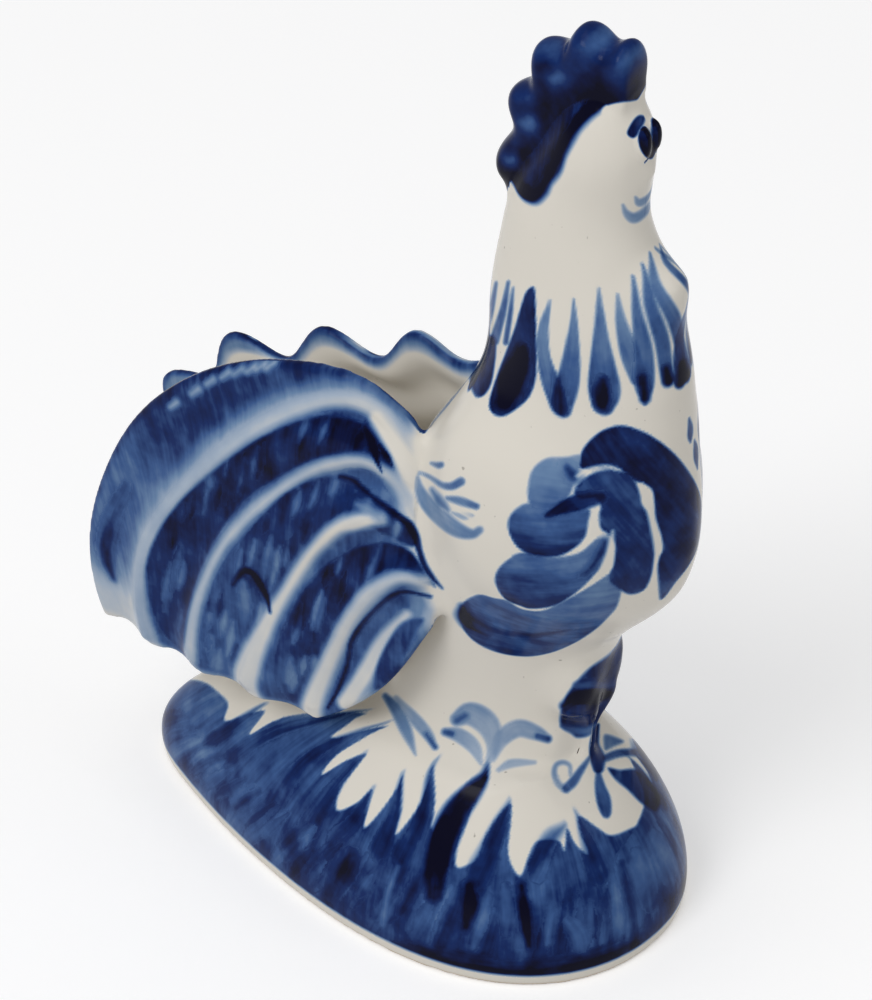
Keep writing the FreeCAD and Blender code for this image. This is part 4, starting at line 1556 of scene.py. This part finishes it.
    def fill_hollows(self, cast: bpy.types.Object, skin: Skin, name: str, rounds: int) -> None:
        """Fill the hollows on the cheeks of a flat member, across its thickness only.

        Args:
            cast: The joined skin.
            skin: Its rows.
            name: Name of the member.
            rounds: Rounds of filling.
        """
        ends = self.edges_of(cast)
        rows = skin.rows(name)
        inside = np.zeros(len(skin.place), bool)
        inside[rows] = np.abs(skin.normal[rows, 1]) > self.CHEEK_FACING
        near = ends[inside[ends].any(1)]
        a, b = np.concatenate((near[:, 0], near[:, 1])), np.concatenate((near[:, 1], near[:, 0]))
        friends = np.maximum(np.bincount(a, minlength=len(inside)), 1)
        side = np.sign(skin.place[:, 1])
        half = np.abs(skin.place[:, 1])
        for _ in range(rounds):
            mean = np.bincount(a, half[b], len(inside)) / friends
            half = np.where(inside, np.maximum(half, mean), half)
        skin.place[:, 1] = np.where(inside, side * half, skin.place[:, 1])

    def mould(self, cast: bpy.types.Object, skin: Skin) -> None:
        """Put raised relief back on the skin.

        Args:
            cast: The joined skin.
            skin: Its rows, with the relief.
        """
        places = (skin.place + (ROW_SHIFT, 0, 0)) * MM
        cast.data.vertices.foreach_set("co", places.astype(np.float32).ravel())
        cast.data.update()
        skin.normal[:] = self.places_of(cast, "normal")

    @staticmethod
    def fire(cast: bpy.types.Object, skin: Skin) -> None:
        """Fix the painted values on the skin.

        Args:
            cast: The joined skin.
            skin: Its painted rows.
        """
        for name, values in (("cobalt", skin.cobalt), ("bare", skin.bare)):
            held = cast.data.attributes.new(name, "FLOAT", "POINT")
            held.data.foreach_set("value", np.clip(values, 0, 1.5).astype(np.float32))
        for name, values in (("brush", skin.brush), ("skin_normal", skin.normal)):
            held = cast.data.attributes.new(name, "FLOAT_VECTOR", "POINT")
            held.data.foreach_set("vector", values.astype(np.float32).ravel())

    def part(self, cast: bpy.types.Object, skin: Skin) -> dict[str, bpy.types.Object]:
        """Part the skin into one closed piece for each member.

        Args:
            cast: The joined skin.
            skin: Its rows, which say where each member is.

        Returns:
            The pieces by the names of their members.
        """
        for name in skin.names:
            cast.data.materials.append(bpy.data.materials.new("of_" + name))
        corners = np.empty(len(cast.data.loops), np.int64)
        cast.data.loops.foreach_get("vertex_index", corners)
        starts = np.empty(len(cast.data.polygons), np.int64)
        cast.data.polygons.foreach_get("loop_start", starts)
        cast.data.polygons.foreach_set("material_index", skin.member[corners[starts]].astype(np.int32))
        self.pick(cast)
        pieces = {}
        for piece in self.separate("MATERIAL"):
            used = piece.data.materials[piece.data.polygons[0].material_index].name
            pieces[used.removeprefix("of_")] = piece
        for name, piece in pieces.items():
            piece.name = "glazed_" + name
            piece.data.name = piece.name
            self.close(piece)
            log.info("%s: %d faces", piece.name, len(piece.data.polygons))
        for name in skin.names:
            bpy.data.materials.remove(bpy.data.materials["of_" + name])
        return pieces

    @staticmethod
    def pick(item: bpy.types.Object) -> None:
        """Select one object alone, and make it the active one.

        Args:
            item: The object.
        """
        bpy.ops.object.select_all(action="DESELECT")
        item.select_set(True)
        bpy.context.view_layer.objects.active = item

    def close(self, piece: bpy.types.Object) -> None:
        """Turn the open edge of a piece inward, fill it, and keep the shading of the joined skin.

        Args:
            piece: The piece.
        """
        shape = bmesh.new()
        shape.from_mesh(piece.data)
        rim = [edge for edge in shape.edges if edge.is_boundary]
        lip = bmesh.ops.extrude_edge_only(shape, edges=rim)["geom"]
        outward = shape.verts.layers.float_vector["skin_normal"]
        for corner in lip:
            if isinstance(corner, bmesh.types.BMVert):
                corner.co -= corner[outward] * (self.lip * MM)
        bmesh.ops.holes_fill(shape, edges=[edge for edge in shape.edges if edge.is_boundary], sides=0)
        shape.to_mesh(piece.data)
        shape.free()
        self.pick(piece)
        normals = np.empty(len(piece.data.vertices) * 3, np.float32)
        piece.data.attributes["skin_normal"].data.foreach_get("vector", normals)
        piece.data.attributes.remove(piece.data.attributes["skin_normal"])
        bpy.ops.object.shade_smooth()
        piece.data.normals_split_custom_set_from_vertices(normals.reshape(-1, 3))


@dataclass
class Studio:
    """Pale floor, soft boxes and the camera at the photograph's angle."""

    view: PhotoView = PhotoView()
    world: float = 0.38
    glow: float = 0.31
    table_width: float = 6.0

    WHITE = (1.0, 1.0, 1.0, 1.0)
    PAPER = (0.83, 0.83, 0.835, 1.0)
    BACKDROP_RAYS = ("Is Camera Ray", "Is Glossy Ray", "Is Transmission Ray")
    LAMPS = (               # name, degrees round and up, metres away, width in metres, watts
        ("top_box", -20.0, 80.0, 2.5, 1.6, 12.0),
        ("key_box", -10.0, 46.0, 2.5, 1.1, 22.0),
        ("side_box", 100.0, 30.0, 2.5, 1.0, 4.5),
    )

    def middle(self) -> Vector:
        """Find the middle of the picture on the object, in metres in the row."""
        return (Vector(self.view.target) + Vector((ROW_SHIFT, 0, 0))) * MM

    def soft_box(self, name: str, turn: float, rise: float, away: float, size: float, power: float) -> None:
        """Hang a soft box.

        Args:
            name: Name of the lamp.
            turn: Degrees round.
            rise: Degrees up.
            away: Metres from the object.
            size: Width in metres.
            power: Watts.
        """
        direction = toward(turn, rise)
        bpy.ops.object.light_add(type="AREA", location=self.middle() + direction * away)
        lamp = bpy.context.object
        lamp.name = name
        lamp.rotation_euler = direction.to_track_quat("Z", "Y").to_euler()
        lamp.data.size = size
        lamp.data.energy = power

    def lay_table(self) -> None:
        """Lay the table, whose pale paper glows only for the camera, for gloss and for glass."""
        bpy.ops.mesh.primitive_plane_add(size=self.table_width)
        floor = bpy.context.object
        floor.name = "table"
        paper = bpy.data.materials.new("table_paper")
        paper.use_nodes = True
        nodes, links = paper.node_tree.nodes, paper.node_tree.links
        shade = nodes["Principled BSDF"]
        shade.inputs["Base Color"].default_value = self.PAPER
        shade.inputs["Roughness"].default_value = 0.6
        shade.inputs["Emission Color"].default_value = self.WHITE
        rays = nodes.new("ShaderNodeLightPath")
        seen = rays.outputs[self.BACKDROP_RAYS[0]]
        for kind in self.BACKDROP_RAYS[1:]:
            either = nodes.new("ShaderNodeMath")
            either.operation = "MAXIMUM"
            links.new(seen, either.inputs[0])
            links.new(rays.outputs[kind], either.inputs[1])
            seen = either.outputs[0]
        level = nodes.new("ShaderNodeMath")
        level.operation = "MULTIPLY"
        level.inputs[1].default_value = self.glow
        links.new(seen, level.inputs[0])
        links.new(level.outputs[0], shade.inputs["Emission Strength"])
        floor.data.materials.append(paper)

    def light(self) -> None:
        """Light the room and hang the soft boxes."""
        world = bpy.data.worlds.new("studio")
        bpy.context.scene.world = world
        world.use_nodes = True
        sky = world.node_tree.nodes["Background"]
        sky.inputs["Color"].default_value = self.WHITE
        sky.inputs["Strength"].default_value = self.world
        for lamp in self.LAMPS:
            self.soft_box(*lamp)

    def stand_camera(self) -> None:
        """Stand the camera where the photograph was taken from."""
        camera = bpy.data.cameras.new("photo_camera")
        camera.lens = self.view.lens
        camera.sensor_width = self.view.sensor
        camera.clip_start = 0.01
        eye = bpy.data.objects.new("photo_camera", camera)
        bpy.context.scene.collection.objects.link(eye)
        back = toward(self.view.turn, self.view.rise)
        eye.location = self.middle() + back * self.view.distance * MM
        eye.rotation_mode = "QUATERNION"
        eye.rotation_quaternion = (-back).to_track_quat("-Z", "Y")
        bpy.context.scene.camera = eye

    def build(self) -> None:
        """Set the table, the light and the camera."""
        bpy.context.scene.view_settings.view_transform = "Standard"
        self.lay_table()
        self.light()
        self.stand_camera()


FINISHES = {
    "white_glaze": GlazeFinish("white_glaze"),
    "cobalt_glaze": GlazeFinish("cobalt_glaze", gloss=0.18),
    "dark_glaze": GlazeFinish("dark_glaze", gloss=0.08, streak=0.08),
}


def main() -> None:
    """Cast, mould, paint and fire the figure, then set the studio."""
    logging.basicConfig(level=logging.INFO, format="%(name)s: %(message)s")
    maker = PorcelainSkin()
    cast = maker.cast()
    skin = maker.read(cast)
    fans = tuple(TailFan(name, side) for name, side in zip(FANS, Side))
    comb = HeadComb()
    bird = BirdBody()
    bird.slim_shanks(skin)
    for members, reach, rounds, held in maker.EASING:
        maker.ease_joints(cast, skin, members, reach, rounds, held)
    maker.fill_hollows(cast, skin, comb.node, maker.CHEEK_ROUNDS)
    maker.mould(cast, skin)
    for fan in fans:
        fan.raise_feathers(skin)
    comb.raise_lobes(skin)
    bird.raise_wings(skin)
    maker.mould(cast, skin)
    mound = GrassMound()
    for member in (*fans, bird, comb, mound):
        member.dress(skin)
        log.info("painted %s", type(member).__name__)
    PhotoMarks(Sight(cast, skin, PhotoView())).dress()
    mound.bare_foot(skin)
    maker.fire(cast, skin)
    pieces = maker.part(cast, skin)
    materials = {slot: finish.material() for slot, finish in FINISHES.items()}
    slots = {row["node"]: row["material_slot"] for row in frame["record"]["subparts"]}
    for name, piece in pieces.items():
        piece.data.materials.clear()
        piece.data.materials.append(materials[slots[name]])
        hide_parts(name)
        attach(piece, BODY)
    Studio().build()


if __name__ == "__main__":
    main()
